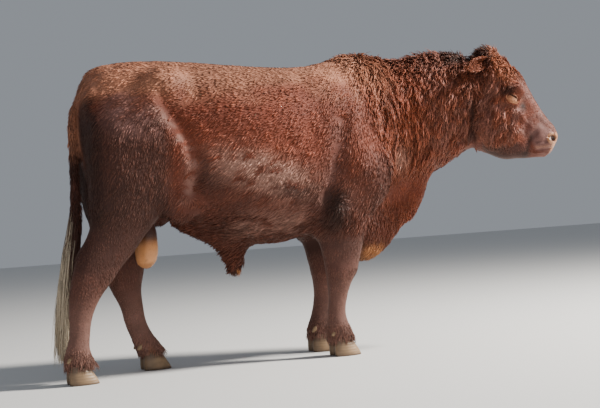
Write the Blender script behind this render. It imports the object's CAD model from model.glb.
"""A still, life-size model of a polled red beef bull: its skin, coat, eyes, claws and tail switch.

The flesh is one closed surface of a distance field. Named volumes are blended in a straight
frame, with the neck and head on the X axis, grooves and swellings are added, and the surface
is bent to the animal's right with the neck. Lengths are in metres, and tables in millimetres.
"""

import math

import bpy
import numpy as np
from bpy.props import FloatProperty, FloatVectorProperty, IntProperty, PointerProperty
from mathutils import Matrix


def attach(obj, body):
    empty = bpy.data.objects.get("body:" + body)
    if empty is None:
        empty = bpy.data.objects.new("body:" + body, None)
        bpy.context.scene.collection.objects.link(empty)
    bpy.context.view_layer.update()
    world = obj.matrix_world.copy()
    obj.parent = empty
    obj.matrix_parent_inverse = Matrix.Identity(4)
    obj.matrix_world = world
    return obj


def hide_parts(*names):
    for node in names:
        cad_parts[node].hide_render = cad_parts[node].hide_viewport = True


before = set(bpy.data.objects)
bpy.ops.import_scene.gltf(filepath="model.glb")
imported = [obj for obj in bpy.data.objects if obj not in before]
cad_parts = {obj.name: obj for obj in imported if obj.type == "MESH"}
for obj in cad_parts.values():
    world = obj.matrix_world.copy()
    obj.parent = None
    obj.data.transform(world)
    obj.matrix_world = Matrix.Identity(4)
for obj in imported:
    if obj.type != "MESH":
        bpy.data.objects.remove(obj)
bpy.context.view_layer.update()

bl_info = {
    "name": "Polled Beef Bull",
    "version": (1, 0, 0),
    "blender": (4, 5, 0),
    "location": "3D View > Sidebar > Bull",
    "description": "Builds a still polled red beef bull over its packed solids",
    "category": "Add Mesh",
}

MM = 0.001
WHOLE_TURN = 2 * math.pi
UP = np.array([0.0, 0.0, 1.0])
SEED = 7

# The neck's bend, as in the solids.
NECK_ROOT = 0.750
NECK_BEND_LENGTH = 0.420
NECK_TURN = math.radians(27)
NECK_RADIUS = NECK_BEND_LENGTH / NECK_TURN
BOX_MIDDLE = np.array([0.3995, -0.0048, 0.0])

# The skull's own axes: down the face and out of the forehead.
POLL = np.array([1.372, 0.0, 1.390])
FACE_DOWN = np.array([0.5476, 0.0, -0.8367])
BROW_OUT = np.array([0.8367, 0.0, 0.5476])

EYE_CENTRE = np.array([1.459, 0.114, 1.132])
EYE_RADIUS = 0.021
EAR_BASE = np.array([1.352, 0.100, 1.314])
EAR_LENGTH = 0.180
EAR_SWEEP = math.radians(130)
EAR_DROOP = 0.15
EAR_ROLL = 0.3

# The coarse grid of the body ends where the fine grid of the head starts.
HEAD_JOIN_X = 1.215
BODY_LOW, BODY_HIGH = (-0.86, -0.43, 0.05), (HEAD_JOIN_X, 0.43, 1.47)
HEAD_LOW_Y, HEAD_LOW_Z, HEAD_HIGH = -0.22, 0.80, (1.72, 0.22, 1.48)

ON_X = ((1, 0, 0), (0, 0, 1))
ON_Z = ((0, 0, 1), (1, 0, 0))
ON_FACE = (tuple(FACE_DOWN), tuple(BROW_OUT))

# Sections of the body's volumes in millimetres. Each row is the distance along the axis, its
# two edges across it, its half width, the middle of its width, and the power of its round.
BARREL = [
    (-636, 1205, 1000, 75, 0, 2), (-610, 1280, 900, 165, 0, 2.1), (-560, 1335, 820, 215, 0, 2.2),
    (-460, 1372, 740, 265, 0, 2.3), (-300, 1383, 700, 292, 0, 2.35), (-130, 1374, 620, 325, 0, 2.35),
    (60, 1358, 552, 352, 0, 2.3), (250, 1345, 536, 355, 0, 2.3), (400, 1345, 553, 335, 0, 2.25),
    (550, 1362, 560, 300, 0, 2.2), (680, 1378, 600, 255, 0, 2.1), (800, 1385, 660, 200, 0, 2),
]
NECK = [
    (500, 1330, 780, 220, 0, 2.1), (660, 1375, 740, 225, 0, 2.1), (800, 1372, 720, 205, 0, 2),
    (920, 1374, 740, 185, 0, 2), (1050, 1396, 810, 170, 0, 2), (1170, 1394, 880, 155, 0, 2),
    (1270, 1360, 930, 135, 0, 2), (1360, 1350, 990, 110, 0, 2),
]
BRISKET = [
    (560, 800, 470, 130, 0, 2), (640, 800, 430, 125, 0, 2), (720, 800, 426, 110, 0, 2),
    (800, 800, 472, 85, 0, 2), (880, 820, 548, 65, 0, 2), (960, 840, 612, 55, 0, 2),
    (1010, 860, 700, 50, 0, 2), (1040, 880, 790, 48, 0, 2), (1130, 930, 862, 50, 0, 2),
    (1210, 960, 918, 60, 0, 2), (1300, 1000, 930, 60, 0, 2),
]
SKULL = [
    (-10, -5, -100, 50, 0, 2), (12, 10, -145, 85, 0, 2.1), (60, 24, -170, 112, 0, 2.3),
    (125, 34, -190, 122, 0, 2.4), (190, 43, -200, 120, 0, 2.4), (270, 35, -200, 100, 0, 2.2),
    (350, 24, -190, 80, 0, 2.2), (430, 15, -175, 72, 0, 2.2), (500, 12, -150, 75, 0, 2.3),
    (545, -12, -120, 68, 0, 2.3), (565, -50, -100, 45, 0, 2.2),
]
JAW = [
    (1270, 1125, 903, 100, 0, 2), (1340, 1105, 873, 105, 0, 2.2), (1410, 1065, 848, 100, 0, 2.2),
    (1480, 1025, 850, 85, 0, 2.2), (1550, 975, 852, 65, 0, 2.2), (1600, 945, 861, 50, 0, 2.1),
    (1620, 915, 880, 25, 0, 2),
]
# A leg's row is the height, the half width, the distance from the middle plane, the power of its
# round, the right leg's front and back edges, and the left leg's.
FORELEGS = [
    (76, 55, 141, 2.2, 546, 422, 548, 430), (100, 55, 143, 2.2, 538, 420, 545, 432),
    (135, 52, 145, 2.2, 524, 420, 545, 443), (190, 42, 146, 2.2, 510, 426, 547, 462),
    (260, 42, 148, 2.2, 520, 436, 560, 478), (330, 54, 150, 2.3, 545, 436, 585, 480),
    (385, 60, 152, 2.4, 578, 430, 612, 473), (420, 60, 155, 2.2, 588, 425, 620, 466),
    (500, 70, 165, 2, 610, 405, 635, 450), (600, 85, 175, 2, 635, 375, 655, 420),
    (700, 95, 185, 2, 660, 350, 665, 380), (800, 100, 190, 2, 660, 360, 660, 360),
]
HIND_LEGS = [
    (76, 55, 141, 2.2, -641, -774, -270, -396), (100, 56, 142, 2.2, -652, -775, -285, -405),
    (140, 52, 143, 2.2, -665, -768, -312, -420), (200, 41, 144, 2.2, -662, -750, -343, -443),
    (300, 42, 145, 2.2, -638, -745, -360, -468), (370, 50, 146, 2.2, -598, -740, -362, -500),
    (430, 55, 146, 2.3, -548, -728, -350, -525), (490, 56, 148, 2.3, -500, -712, -335, -555),
    (545, 60, 148, 2.2, -445, -700, -325, -575), (600, 68, 150, 2.2, -400, -668, -310, -580),
    (665, 85, 150, 2.2, -345, -650, -285, -585), (750, 108, 150, 2.2, -300, -655, -260, -610),
    (840, 130, 150, 2.2, -255, -652, -235, -630), (950, 140, 148, 2.2, -230, -655, -220, -645),
    (1080, 130, 145, 2.2, -250, -635, -250, -635), (1200, 100, 140, 2, -320, -560, -320, -560),
]
SHEATH = [
    (415, 66, 20, 18, 0, 2), (450, 84, 8, 30, 0, 2), (500, 98, -14, 38, 0, 2),
    (540, 125, -48, 46, 0, 2), (580, 170, -115, 54, 0, 2), (620, 220, -190, 60, 0, 2),
    (660, 250, -240, 60, 0, 2),
]
SCROTUM = [
    (465, -345, -385, 20, 0, 2), (480, -330, -400, 45, 0, 2), (520, -312, -410, 64, 0, 2),
    (580, -308, -408, 62, 0, 2), (660, -312, -405, 58, 0, 2), (760, -310, -420, 60, 0, 2),
]
TAIL = [
    (545, -664, -738, 24, -30, 2), (650, -640, -708, 26, -20, 2), (800, -632, -688, 26, -10, 2),
    (1000, -627, -678, 27, 0, 2), (1180, -612, -658, 34, 0, 2), (1245, -580, -625, 33, 0, 2),
]
SWITCH = [
    (70, -752, -768, 8, -50, 2), (130, -722, -780, 26, -50, 2), (250, -708, -784, 34, -45, 2),
    (400, -690, -774, 32, -40, 2), (560, -664, -740, 25, -30, 2),
]

CLAW_SPREAD = 0.033
DEWCLAW_Z = 0.112
FEET = {
    "fore_right": (0.498, -0.140, 0.424),
    "fore_left": (0.500, 0.140, 0.436),
    "hind_right": (-0.705, -0.140, -0.772),
    "hind_left": (-0.322, 0.140, -0.410),
}

# How bright the skin between the locks is beside the bare skin.
UNDER_COAT = 0.62

# Hairs to the square metre of lid, lash line and ear, and locks of the switch and sheath.
LID_HAIRS = 90000
LASHES = 60000
EAR_LOCKS = 34000
SWITCH_LOCKS = 2400
TUFT_LOCKS = 260

# The made pieces' shared data: the skin's points, faces and normals once it is built.
WORK = {}


# ---- Curves, masks and noise ----

def curve_through(rows, column, at):
    """A smooth curve through one column of the rows: cubic pieces whose slope at each row is the
    mean of the two neighbouring chords, weighted by the other one's length."""
    s = np.array([row[0] for row in rows], float)
    v = np.array([row[column] for row in rows], float)
    gap = np.diff(s)
    chord = np.diff(v) / gap
    slope = np.empty(len(s))
    slope[1:-1] = (chord[:-1] * gap[1:] + chord[1:] * gap[:-1]) / (s[2:] - s[:-2])
    slope[0], slope[-1] = chord[0], chord[-1]
    i = np.clip(np.searchsorted(s, at, side="right") - 1, 0, len(s) - 2)
    u = (np.clip(at, s[0], s[-1]) - s[i]) / gap[i]
    return ((1 + 2 * u) * (1 - u) ** 2 * v[i] + u * (1 - u) ** 2 * gap[i] * slope[i]
            + u * u * (3 - 2 * u) * v[i + 1] + u * u * (u - 1) * gap[i] * slope[i + 1])


def rise(x, low, high):
    """0 below low, 1 above high, and 3t^2 - 2t^3 between. Falls where high is less than low."""
    t = np.clip((x - low) / (high - low), 0, 1)
    return t * t * (3 - 2 * t)


def cloud(points, size, seed=0):
    """Smooth value noise between 0 and 1: hashed values at the corners of a lattice of the given
    size, blended by the smooth steps of the point's place in its cell."""
    q = points / size
    corner = np.floor(q)
    f = q - corner
    f = f * f * (3 - 2 * f)
    total = 0.0
    for dx in (0, 1):
        for dy in (0, 1):
            for dz in (0, 1):
                c = corner + (dx, dy, dz)
                h = np.sin(c @ np.array([127.1, 311.7, 74.7]) + seed * 17.3) * 43758.5453
                weight = (np.abs(1 - dx - f[:, 0]) * np.abs(1 - dy - f[:, 1]) * np.abs(1 - dz - f[:, 2]))
                total = total + weight * (h - np.floor(h))
    return total


def circle(count):
    """Even angles once round."""
    return np.linspace(0, WHOLE_TURN, count, endpoint=False)


def unit(v):
    """Vectors over their lengths."""
    return v / (np.linalg.norm(v, axis=-1, keepdims=True) + 1e-12)


def square_to(way, normal):
    """Each way less its part along the normal: w - n (w . n)."""
    return way - normal * (way * normal).sum(1)[:, None]


def bend_angle(x):
    """The neck's turn at X: the length past its root over the radius, at most the whole turn."""
    return np.clip((x - NECK_ROOT) / NECK_RADIUS, 0, NECK_TURN)


def bend(points):
    """Carries points of the straight frame round the neck's circle and straight on past it, then
    to the model's origin in the middle of its box."""
    x, y = points[:, 0], points[:, 1]
    angle = bend_angle(x)
    beyond = np.maximum(x - NECK_ROOT - NECK_BEND_LENGTH, 0)
    radius = NECK_RADIUS + y
    ahead = x > NECK_ROOT
    bent = points.copy()
    bent[:, 0] = np.where(ahead, NECK_ROOT + radius * np.sin(angle) + beyond * np.cos(angle), x)
    bent[:, 1] = np.where(ahead, radius * np.cos(angle) - NECK_RADIUS - beyond * np.sin(angle), y)
    return bent - BOX_MIDDLE


# ---- Volumes of the flesh ----

class Loft:
    """A volume carried along an axis. A point's distance is measured on the ray from the middle
    of the section beside it: d(1 - 1/r), with d its distance from the middle and r its place in
    the section's superellipse, (|v/h|^n + |w/b|^n)^(1/n). Past an end it is the distance to it."""

    def __init__(self, rows, axes, origin=(0, 0, 0), blend_width=0.05):
        self.rows = [tuple(value * MM for value in row[:5]) + (row[5],) for row in rows]
        self.origin = np.array(origin, float)
        self.along, self.across = (np.array(axis, float) for axis in axes)
        self.side = np.cross(self.along, self.across)
        self.blend_width = blend_width
        edges = [self.origin + self.along * s + self.across * v + self.side * (m + w * half)
                 for s, a, b, half, m, _ in self.rows for v in (a, b) for w in (-1, 1)]
        self.low, self.high = np.min(edges, 0), np.max(edges, 0)

    def distance(self, x, y, z):
        """The distance from the volume, below zero inside it."""
        p = [x - self.origin[0], y - self.origin[1], z - self.origin[2]]
        s, v, w = (p[0] * a[0] + p[1] * a[1] + p[2] * a[2] for a in (self.along, self.across, self.side))
        start, end = self.rows[0][0], self.rows[-1][0]
        at = np.clip(s, start, end)
        stops = np.linspace(start, end, 300)
        a, b, half, middle, n = (np.interp(at, stops, curve_through(self.rows, c, stops))
                                 for c in range(1, 6))
        v, w = v - (a + b) / 2, w - middle
        r = (np.abs(2 * v / (a - b)) ** n + np.abs(w / half) ** n) ** (1 / n) + 1e-9
        away = np.hypot(v, w)
        across = np.maximum(away - away / r, -np.minimum(np.abs(a - b) / 2, half))
        past = np.abs(s - at)
        return np.where(past > 0, np.hypot(np.maximum(across, 0), past), across)


class Ball:
    """A pair of ellipsoids, one on each side, tilted about the Y axis. The near distance is
    k (k - 1) / g, with k the point's length in radii and g that length over the radii again."""

    def __init__(self, centre, radii, tilt=0.0, blend_width=0.06):
        self.centre = np.array(centre, float) * MM
        self.radii = np.array(radii, float) * MM
        self.cos, self.sin = math.cos(math.radians(tilt)), math.sin(math.radians(tilt))
        self.blend_width = blend_width
        reach = self.radii.max()
        self.low = self.centre - reach
        self.high = self.centre + reach
        self.low[1] = -self.high[1]

    def distance(self, x, y, z):
        """The distance from the nearer ellipsoid, below zero inside it."""
        px, py, pz = x - self.centre[0], np.abs(y) - self.centre[1], z - self.centre[2]
        a, b, c = ((px * self.cos - pz * self.sin) / self.radii[0], py / self.radii[1],
                   (px * self.sin + pz * self.cos) / self.radii[2])
        k = np.sqrt(a * a + b * b + c * c) + 1e-9
        g = np.sqrt((a / self.radii[0]) ** 2 + (b / self.radii[1]) ** 2 + (c / self.radii[2]) ** 2) + 1e-9
        return k * (k - 1) / g


class Stroke:
    """A groove or a ridge along a path on both sides: depth * exp(-(d/width)^2) is added to the
    field, with d the distance to the path. A ridge has a depth below zero."""

    def __init__(self, path, width, depth):
        self.path = np.array(path, float) * MM
        self.width, self.depth = width * MM, depth * MM
        reach = 2.4 * self.width
        self.low = self.path.min(0) - reach
        self.high = self.path.max(0) + reach
        self.low[1] = -self.high[1]

    def offset(self, x, y, z):
        """What the path adds to the field."""
        y = np.abs(y)
        nearest = np.full(np.broadcast(x, y, z).shape, np.inf)
        for a, b in zip(self.path[:-1], self.path[1:]):
            span = b - a
            t = ((x - a[0]) * span[0] + (y - a[1]) * span[1] + (z - a[2]) * span[2]) / (span @ span)
            t = np.clip(t, 0, 1)
            d = ((x - a[0] - t * span[0]) ** 2 + (y - a[1] - t * span[1]) ** 2
                 + (z - a[2] - t * span[2]) ** 2)
            nearest = np.minimum(nearest, d)
        return self.depth * np.exp(-nearest / self.width ** 2)


class Swell:
    """A rounded rise or hollow on both sides: depth * exp(-q^2), with q the point's length in
    radii from the centre. A rise has a depth below zero."""

    def __init__(self, centre, radii, depth):
        self.centre = np.array(centre, float) * MM
        self.radii = np.array(radii, float) * MM
        self.depth = depth * MM
        self.low = self.centre - 2.2 * self.radii
        self.high = self.centre + 2.2 * self.radii
        self.low[1] = -self.high[1]

    def offset(self, x, y, z):
        """What the rise or hollow adds to the field."""
        q = (((x - self.centre[0]) / self.radii[0]) ** 2
             + ((np.abs(y) - self.centre[1]) / self.radii[1]) ** 2
             + ((z - self.centre[2]) / self.radii[2]) ** 2)
        return self.depth * np.exp(-q)


def leg_rows(rows, side):
    """One leg's rows in the order of the other tables. The right leg's side is -1."""
    edge = 4 if side < 0 else 6
    return [(row[0], row[edge], row[edge + 1], row[1], side * row[2], row[3]) for row in rows]


BODY_VOLUMES = [
    Loft(BARREL, ON_X, blend_width=0.08),
    Ball((500, 165, 930), (170, 155, 330), tilt=-14, blend_width=0.08),
    Ball((620, 200, 800), (130, 120, 150), blend_width=0.08),
    Ball((450, 170, 720), (160, 130, 170), blend_width=0.08),
    Ball((-300, 235, 1235), (85, 55, 75), blend_width=0.09),
    Ball((-585, 135, 1165), (55, 50, 75)),
    Ball((-470, 0, 1328), (108, 50, 30), blend_width=0.05),
    Loft(BRISKET, ON_X, blend_width=0.06),
    Loft(NECK, ON_X, blend_width=0.06),
    Loft(SKULL, ON_FACE, origin=POLL, blend_width=0.03),
    Loft(JAW, ON_X, blend_width=0.04),
    Ball((1385, 75, 1040), (115, 55, 135), tilt=25, blend_width=0.04),
    Ball((1470, 98, 1165), (55, 35, 50), tilt=58, blend_width=0.03),
    *(Loft(leg_rows(rows, side), ON_Z) for rows in (FORELEGS, HIND_LEGS) for side in (-1, 1)),
    Ball((-260, 200, 760), (90, 45, 120), tilt=-20),
    Loft(SHEATH, ON_Z, blend_width=0.06),
    Loft(SCROTUM, ON_Z, blend_width=0.03),
    Loft(TAIL, ON_Z, blend_width=0.015),
]

# Folds, hollows and muscles that the solids leave out, in millimetres of the straight frame.
RELIEF = {
    "hollow before the hip": Swell((-205, 300, 1215), (75, 60, 70), 14),
    "hip point": Swell((-318, 290, 1285), (38, 40, 32), -9),
    "thigh's front edge": Stroke(
        [(-318, 302, 1200), (-285, 305, 1120), (-215, 308, 1000), (-178, 300, 885), (-205, 262, 790)],
        32, 14),
    "thigh's front muscle": Stroke(
        [(-400, 290, 1160), (-350, 305, 1060), (-300, 305, 960), (-285, 290, 870), (-330, 255, 780)],
        80, -13),
    "flank wrinkle one": Stroke([(-290, 245, 800), (-240, 262, 830), (-190, 285, 838)], 11, 5),
    "flank wrinkle two": Stroke([(-310, 240, 770), (-250, 250, 795), (-190, 270, 800)], 11, 4.5),
    "flank fold": Stroke([(-300, 232, 742), (-230, 240, 752), (-150, 250, 720)], 18, -6),
    "groove behind the shoulder": Stroke(
        [(500, 330, 1060), (462, 338, 940), (425, 332, 820), (408, 312, 710)], 34, 19),
    "shoulder muscle": Stroke([(600, 290, 1120), (560, 320, 960), (560, 320, 840)], 60, -11),
    "shoulder blade ridge": Stroke([(585, 180, 1330), (610, 250, 1180), (640, 290, 1000)], 32, -5),
    "groove before the shoulder": Stroke([(700, 235, 1180), (745, 240, 1040), (760, 235, 900)], 40, 10),
    "shoulder point": Swell((735, 255, 855), (60, 60, 62), -14),
    "neck muscle": Stroke([(800, 205, 1120), (980, 185, 1130), (1180, 155, 1160)], 70, -6),
    "neck's lower groove": Stroke([(820, 165, 900), (980, 120, 930), (1150, 105, 980)], 42, 10),
    "elbow": Swell((440, 262, 665), (55, 60, 60), -14),
    "armpit hollow": Stroke([(412, 300, 730), (392, 275, 650), (378, 250, 590)], 26, 26),
    "belly rib one": Stroke([(330, 345, 1000), (270, 352, 900), (170, 340, 800), (60, 330, 760)], 34, 7),
    "belly rib two": Stroke([(230, 352, 960), (130, 350, 860), (0, 335, 800), (-90, 310, 790)], 34, 8),
    "belly bulge": Swell((130, 330, 740), (200, 80, 90), -10),
    "tail head hollow": Stroke([(-470, 85, 1360), (-560, 80, 1320), (-615, 75, 1250)], 26, 9),
    "pin groove": Stroke([(-622, 62, 1200), (-640, 64, 1000), (-650, 66, 820)], 28, 16),
    "thigh's rear corner": Stroke(
        [(-655, 150, 1120), (-665, 150, 980), (-668, 140, 820), (-680, 130, 700)], 70, 30),
    "thigh's hind groove": Stroke([(-560, 255, 1120), (-590, 250, 960), (-610, 225, 800)], 26, 5),
    "gaskin tendon right": Stroke([(-640, 205, 690), (-672, 195, 590), (-700, 190, 500)], 16, 5),
    "dewlap fold one": Stroke([(1010, 62, 720), (930, 90, 760), (840, 130, 800)], 20, 7),
    "dewlap fold two": Stroke([(960, 70, 640), (880, 100, 690), (800, 150, 730)], 20, 6),
    "dewlap fold three": Stroke([(900, 75, 575), (820, 115, 630), (750, 160, 680)], 20, 5),
    "brisket cleft": Stroke([(560, 118, 560), (640, 128, 590), (720, 125, 640)], 24, 8),
}

HEAD_RELIEF = {
    "behind the cheek": Stroke([(1282, 128, 1150), (1262, 124, 1050), (1256, 98, 955)], 19, 19),
    "cheek muscle": Swell((1372, 120, 1045), (75, 40, 80), -8),
    "cheek's front edge": Stroke([(1430, 118, 1075), (1432, 108, 1000), (1425, 100, 925)], 14, 6),
    "cheek lobe": Swell((1468, 95, 948), (34, 28, 42), -11),
    "jaw's lower edge": Stroke([(1290, 95, 925), (1390, 100, 905), (1470, 80, 900)], 14, 4),
    "hollow above the eye": Swell((1418, 122, 1205), (22, 22, 24), 9),
    "brow": Stroke([(1430, 130, 1160), (1448, 134, 1186), (1485, 124, 1184), (1506, 108, 1160)], 11, -9),
    "brow wrinkle one": Stroke([(1425, 130, 1185), (1450, 130, 1208), (1490, 118, 1205)], 7, 5),
    "brow wrinkle two": Stroke([(1430, 128, 1208), (1455, 126, 1228), (1488, 115, 1225)], 7, 4),
    "eye bed": Swell((1462, 132, 1128), (30, 14, 24), 9),
    "below the eye": Stroke([(1425, 128, 1118), (1448, 126, 1092), (1488, 110, 1084)], 9, 6),
    "lower eyelid fold": Stroke([(1418, 128, 1100), (1446, 126, 1072), (1486, 108, 1066)], 9, -4),
    "inner corner": Stroke([(1494, 112, 1110), (1510, 100, 1092)], 8, 8),
    "cheek ridge": Stroke([(1470, 114, 1085), (1512, 92, 1030), (1545, 80, 985)], 17, -7),
    "below the cheek ridge": Stroke([(1452, 118, 1050), (1490, 98, 1000), (1515, 88, 960)], 12, 6),
    "side of the nose": Stroke([(1516, 92, 1115), (1560, 78, 1050), (1598, 68, 1000)], 15, 8),
    "temple": Swell((1390, 122, 1240), (34, 20, 40), 6),
    "muzzle's back edge": Stroke([(1552, 82, 965), (1526, 82, 928), (1518, 76, 885)], 12, 13),
    "muzzle's side": Swell((1582, 74, 935), (32, 24, 32), -6),
    "upper lip": Stroke([(1560, 80, 908), (1600, 78, 903), (1634, 56, 900)], 12, -6),
    "fold over the lip": Stroke([(1556, 82, 925), (1580, 82, 918), (1604, 78, 924)], 7, 4),
    "mouth line": Stroke(
        [(1518, 74, 880), (1550, 74, 884), (1592, 68, 887), (1622, 48, 888), (1642, 0, 891)], 5, 9),
    "lower lip": Stroke([(1540, 64, 868), (1585, 58, 871), (1612, 32, 873), (1616, 0, 873)], 10, -6),
    "chin groove": Stroke([(1480, 70, 866), (1520, 60, 860), (1540, 40, 853)], 12, 4),
    "nostril rim": Stroke(
        [(1618, 78, 922), (1612, 80, 942), (1626, 72, 958), (1646, 58, 956), (1658, 46, 938)], 7, -6),
    "nostril rim below": Stroke([(1618, 78, 922), (1638, 70, 912), (1654, 52, 918)], 7, -5),
    "middle of the muzzle": Stroke([(1662, 0, 965), (1664, 0, 935), (1642, 0, 895)], 7, 5),
    "forehead middle": Swell((1520, 0, 1240), (40, 45, 50), -4),
    "poll": Swell((1385, 0, 1385), (50, 60, 30), -4),
}
NOSTRILS = [
    Ball((1640, 63, 932), (16, 16, 16), tilt=30),
    Ball((1620, 77, 944), (15, 11, 7), tilt=-25),
]


def coat_depth(x, y, z):
    """How far the skin lies inside the coat's tips: 6 mm on the body, more on the neck, crest,
    poll, cheeks and brisket, and less on the muzzle, jaw, lower legs and scrotum."""
    neck = rise(x, 0.70, 0.90) * rise(x, 1.60, 1.40)
    high = rise(z, 1.20, 1.36)
    face = (x - POLL[0]) * FACE_DOWN[0] + (z - POLL[2]) * FACE_DOWN[2]
    muzzle = rise(face, 0.36, 0.46) * rise(x, 1.45, 1.50)
    depth = 0.006 + 0.005 * neck + 0.007 * neck * high
    depth = depth * (1 - 0.75 * muzzle) * (1 - 0.5 * rise(z, 0.90, 0.86) * rise(x, 1.2, 1.3))
    depth = depth * (1 - 0.9 * rise(z, 0.62, 0.45))
    depth = depth + 0.004 * rise(x, 0.60, 0.75) * rise(x, 1.05, 0.95) * rise(z, 0.8, 0.7)
    bare = rise(x, -0.30, -0.31) * rise(x, -0.43, -0.42) * rise(z, 0.66, 0.62) * rise(np.abs(y), 0.085, 0.07)
    return depth * (1 - 0.8 * bare)


def field(low, high, cell, relief, cuts=()):
    """The flesh's signed distance on a grid: the volumes' smooth minimum, each one worked out in
    its own box, then the relief, the coat's depth and the cuts."""
    count = [int(math.ceil((b - a) / cell)) + 1 for a, b in zip(low, high)]
    axes = [a + cell * np.arange(n) for a, n in zip(low, count)]
    far = 0.12
    values = np.full(count, far)

    def room(form, margin):
        """The slices and the grid of a form's box, grown by a margin."""
        spans = [slice(max(0, int((form.low[i] - margin - low[i]) / cell)),
                       min(count[i], int((form.high[i] + margin - low[i]) / cell) + 2)) for i in range(3)]
        if any(span.start >= span.stop for span in spans):
            return None, None
        grid = np.broadcast_arrays(axes[0][spans[0]][:, None, None], axes[1][spans[1]][None, :, None],
                                   axes[2][spans[2]][None, None, :])
        return tuple(spans), grid

    for form in BODY_VOLUMES:
        k = form.blend_width
        where, grid = room(form, 0.8 * far + k)
        if where is not None:
            near = form.distance(*grid)
            old = values[where]
            h = np.maximum(k - np.abs(old - near), 0) / k
            values[where] = np.minimum(old, near) - h * h * k / 4
    for form in relief:
        where, grid = room(form, 0.0)
        if where is not None:
            values[where] += form.offset(*grid)
    values += coat_depth(axes[0][:, None, None], axes[1][None, :, None], axes[2][None, None, :])
    for form in cuts:
        where, grid = room(form, 0.01)
        if where is not None:
            values[where] = np.maximum(values[where], -form.distance(*grid))
    return values, axes


def surface(values, axes):
    """Surface nets: each cell that the surface crosses has a point at the mean of the crossings
    on its edges, and each crossed grid edge joins the four cells round it as a quad."""
    cell = axes[0][1] - axes[0][0]
    inside = values < 0
    shape = values.shape
    filled = sum(inside[i:shape[0] - 1 + i, j:shape[1] - 1 + j, k:shape[2] - 1 + k].astype(np.int8)
                 for i in (0, 1) for j in (0, 1) for k in (0, 1))
    crossed = (filled > 0) & (filled < 8)
    number = np.full(crossed.shape, -1, np.int64)
    at = np.nonzero(crossed)
    number[at] = np.arange(len(at[0]))
    total = np.zeros((len(at[0]), 3))
    hits = np.zeros(len(at[0]))
    for axis in range(3):
        others = [other for other in range(3) if other != axis]
        for first in (0, 1):
            for second in (0, 1):
                start = [0, 0, 0]
                start[others[0]], start[others[1]] = first, second
                end = list(start)
                end[axis] = 1
                a = values[tuple(p + o for p, o in zip(at, start))]
                b = values[tuple(p + o for p, o in zip(at, end))]
                crosses = (a < 0) != (b < 0)
                point = np.tile(np.array(start, float), (len(a), 1))
                point[:, axis] += np.where(crosses, a / np.where(a == b, 1, a - b), 0)
                total += np.where(crosses[:, None], point, 0)
                hits += crosses
    points = (total / hits[:, None] + np.stack(at, -1)) * cell + [axis[0] for axis in axes]
    quads = []
    for axis in range(3):
        b, c = (axis + 1) % 3, (axis + 2) % 3
        lower = [slice(None)] * 3
        upper = [slice(None)] * 3
        lower[axis], upper[axis] = slice(0, -1), slice(1, None)
        starts_inside = inside[tuple(lower)]
        edge = np.stack(np.nonzero(starts_inside != inside[tuple(upper)]), -1)
        keep = (edge[:, b] > 0) & (edge[:, c] > 0)
        keep &= (edge[:, b] < shape[b] - 1) & (edge[:, c] < shape[c] - 1)
        edge = edge[keep]
        ring = []
        for db, dc in ((-1, -1), (0, -1), (0, 0), (-1, 0)):
            step = edge.copy()
            step[:, b] += db
            step[:, c] += dc
            ring.append(number[tuple(step.T)])
        ring = np.stack(ring, -1)
        outward = starts_inside[tuple(edge.T)]
        quads.append(np.where(outward[:, None], ring, ring[:, ::-1]))
    return points, np.concatenate(quads)


def rim(points, quads, near_x, cell):
    """The points on the open edge of a surface near one X, in order round its section."""
    edges = np.sort(np.concatenate([quads[:, [k, (k + 1) % 4]] for k in range(4)]), 1)
    once, times = np.unique(edges, axis=0, return_counts=True)
    loose = np.unique(once[times == 1])
    loose = loose[np.abs(points[loose, 0] - near_x) < 1.5 * cell]
    middle = points[loose][:, 1:].mean(0)
    angle = np.arctan2(points[loose, 2] - middle[1], points[loose, 1])
    order = np.argsort(angle)
    return loose[order], angle[order]


def zip_rims(first, first_angle, second, second_angle):
    """Triangles between two rings of points sorted by angle: each step along either ring makes a
    triangle with the other ring's point that it has reached."""
    other = (np.searchsorted(second_angle, first_angle) - 1) % len(second)
    a = np.stack([np.roll(first, 1), first, second[other]], -1)
    other = (np.searchsorted(first_angle, second_angle, side="right") - 1) % len(first)
    b = np.stack([second, np.roll(second, 1), first[other]], -1)
    return np.concatenate([a, b])


def point_normals(points, quads, triangles):
    """The faces' area vectors summed at their points and made unit vectors. They go as the cross
    product of a quad's diagonals, and of two edges of a triangle."""
    normals = np.zeros_like(points)
    across = np.cross(points[quads[:, 2]] - points[quads[:, 0]], points[quads[:, 3]] - points[quads[:, 1]])
    for corner in range(4):
        np.add.at(normals, quads[:, corner], across)
    if len(triangles):
        across = np.cross(points[triangles[:, 1]] - points[triangles[:, 0]],
                          points[triangles[:, 2]] - points[triangles[:, 0]])
        for corner in range(3):
            np.add.at(normals, triangles[:, corner], across)
    return unit(normals)


# ---- The lie, the length and the colour of the coat ----

def leg_masks(p):
    """How far each point belongs to a foreleg or a hind leg, from 0 to 1."""
    fore = rise(p[:, 2], 0.60, 0.50) * rise(p[:, 0], 0.30, 0.36) * rise(p[:, 0], 0.70, 0.62)
    hind = rise(p[:, 2], 0.72, 0.60) * rise(p[:, 0], -0.10, -0.20) * rise(np.abs(p[:, 1]), 0.06, 0.09)
    bag = bag_mask(p)
    return fore, hind * (1 - bag)


def bag_mask(p):
    """How far each point belongs to the scrotum, from 0 to 1."""
    return (rise(p[:, 0], -0.285, -0.30) * rise(p[:, 0], -0.43, -0.415) * rise(p[:, 2], 0.72, 0.66)
            * rise(np.abs(p[:, 1]), 0.090, 0.078))


def face_place(p):
    """Distances down the face from the poll and out of the forehead."""
    q = p - POLL
    return q @ FACE_DOWN, q @ BROW_OUT


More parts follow.
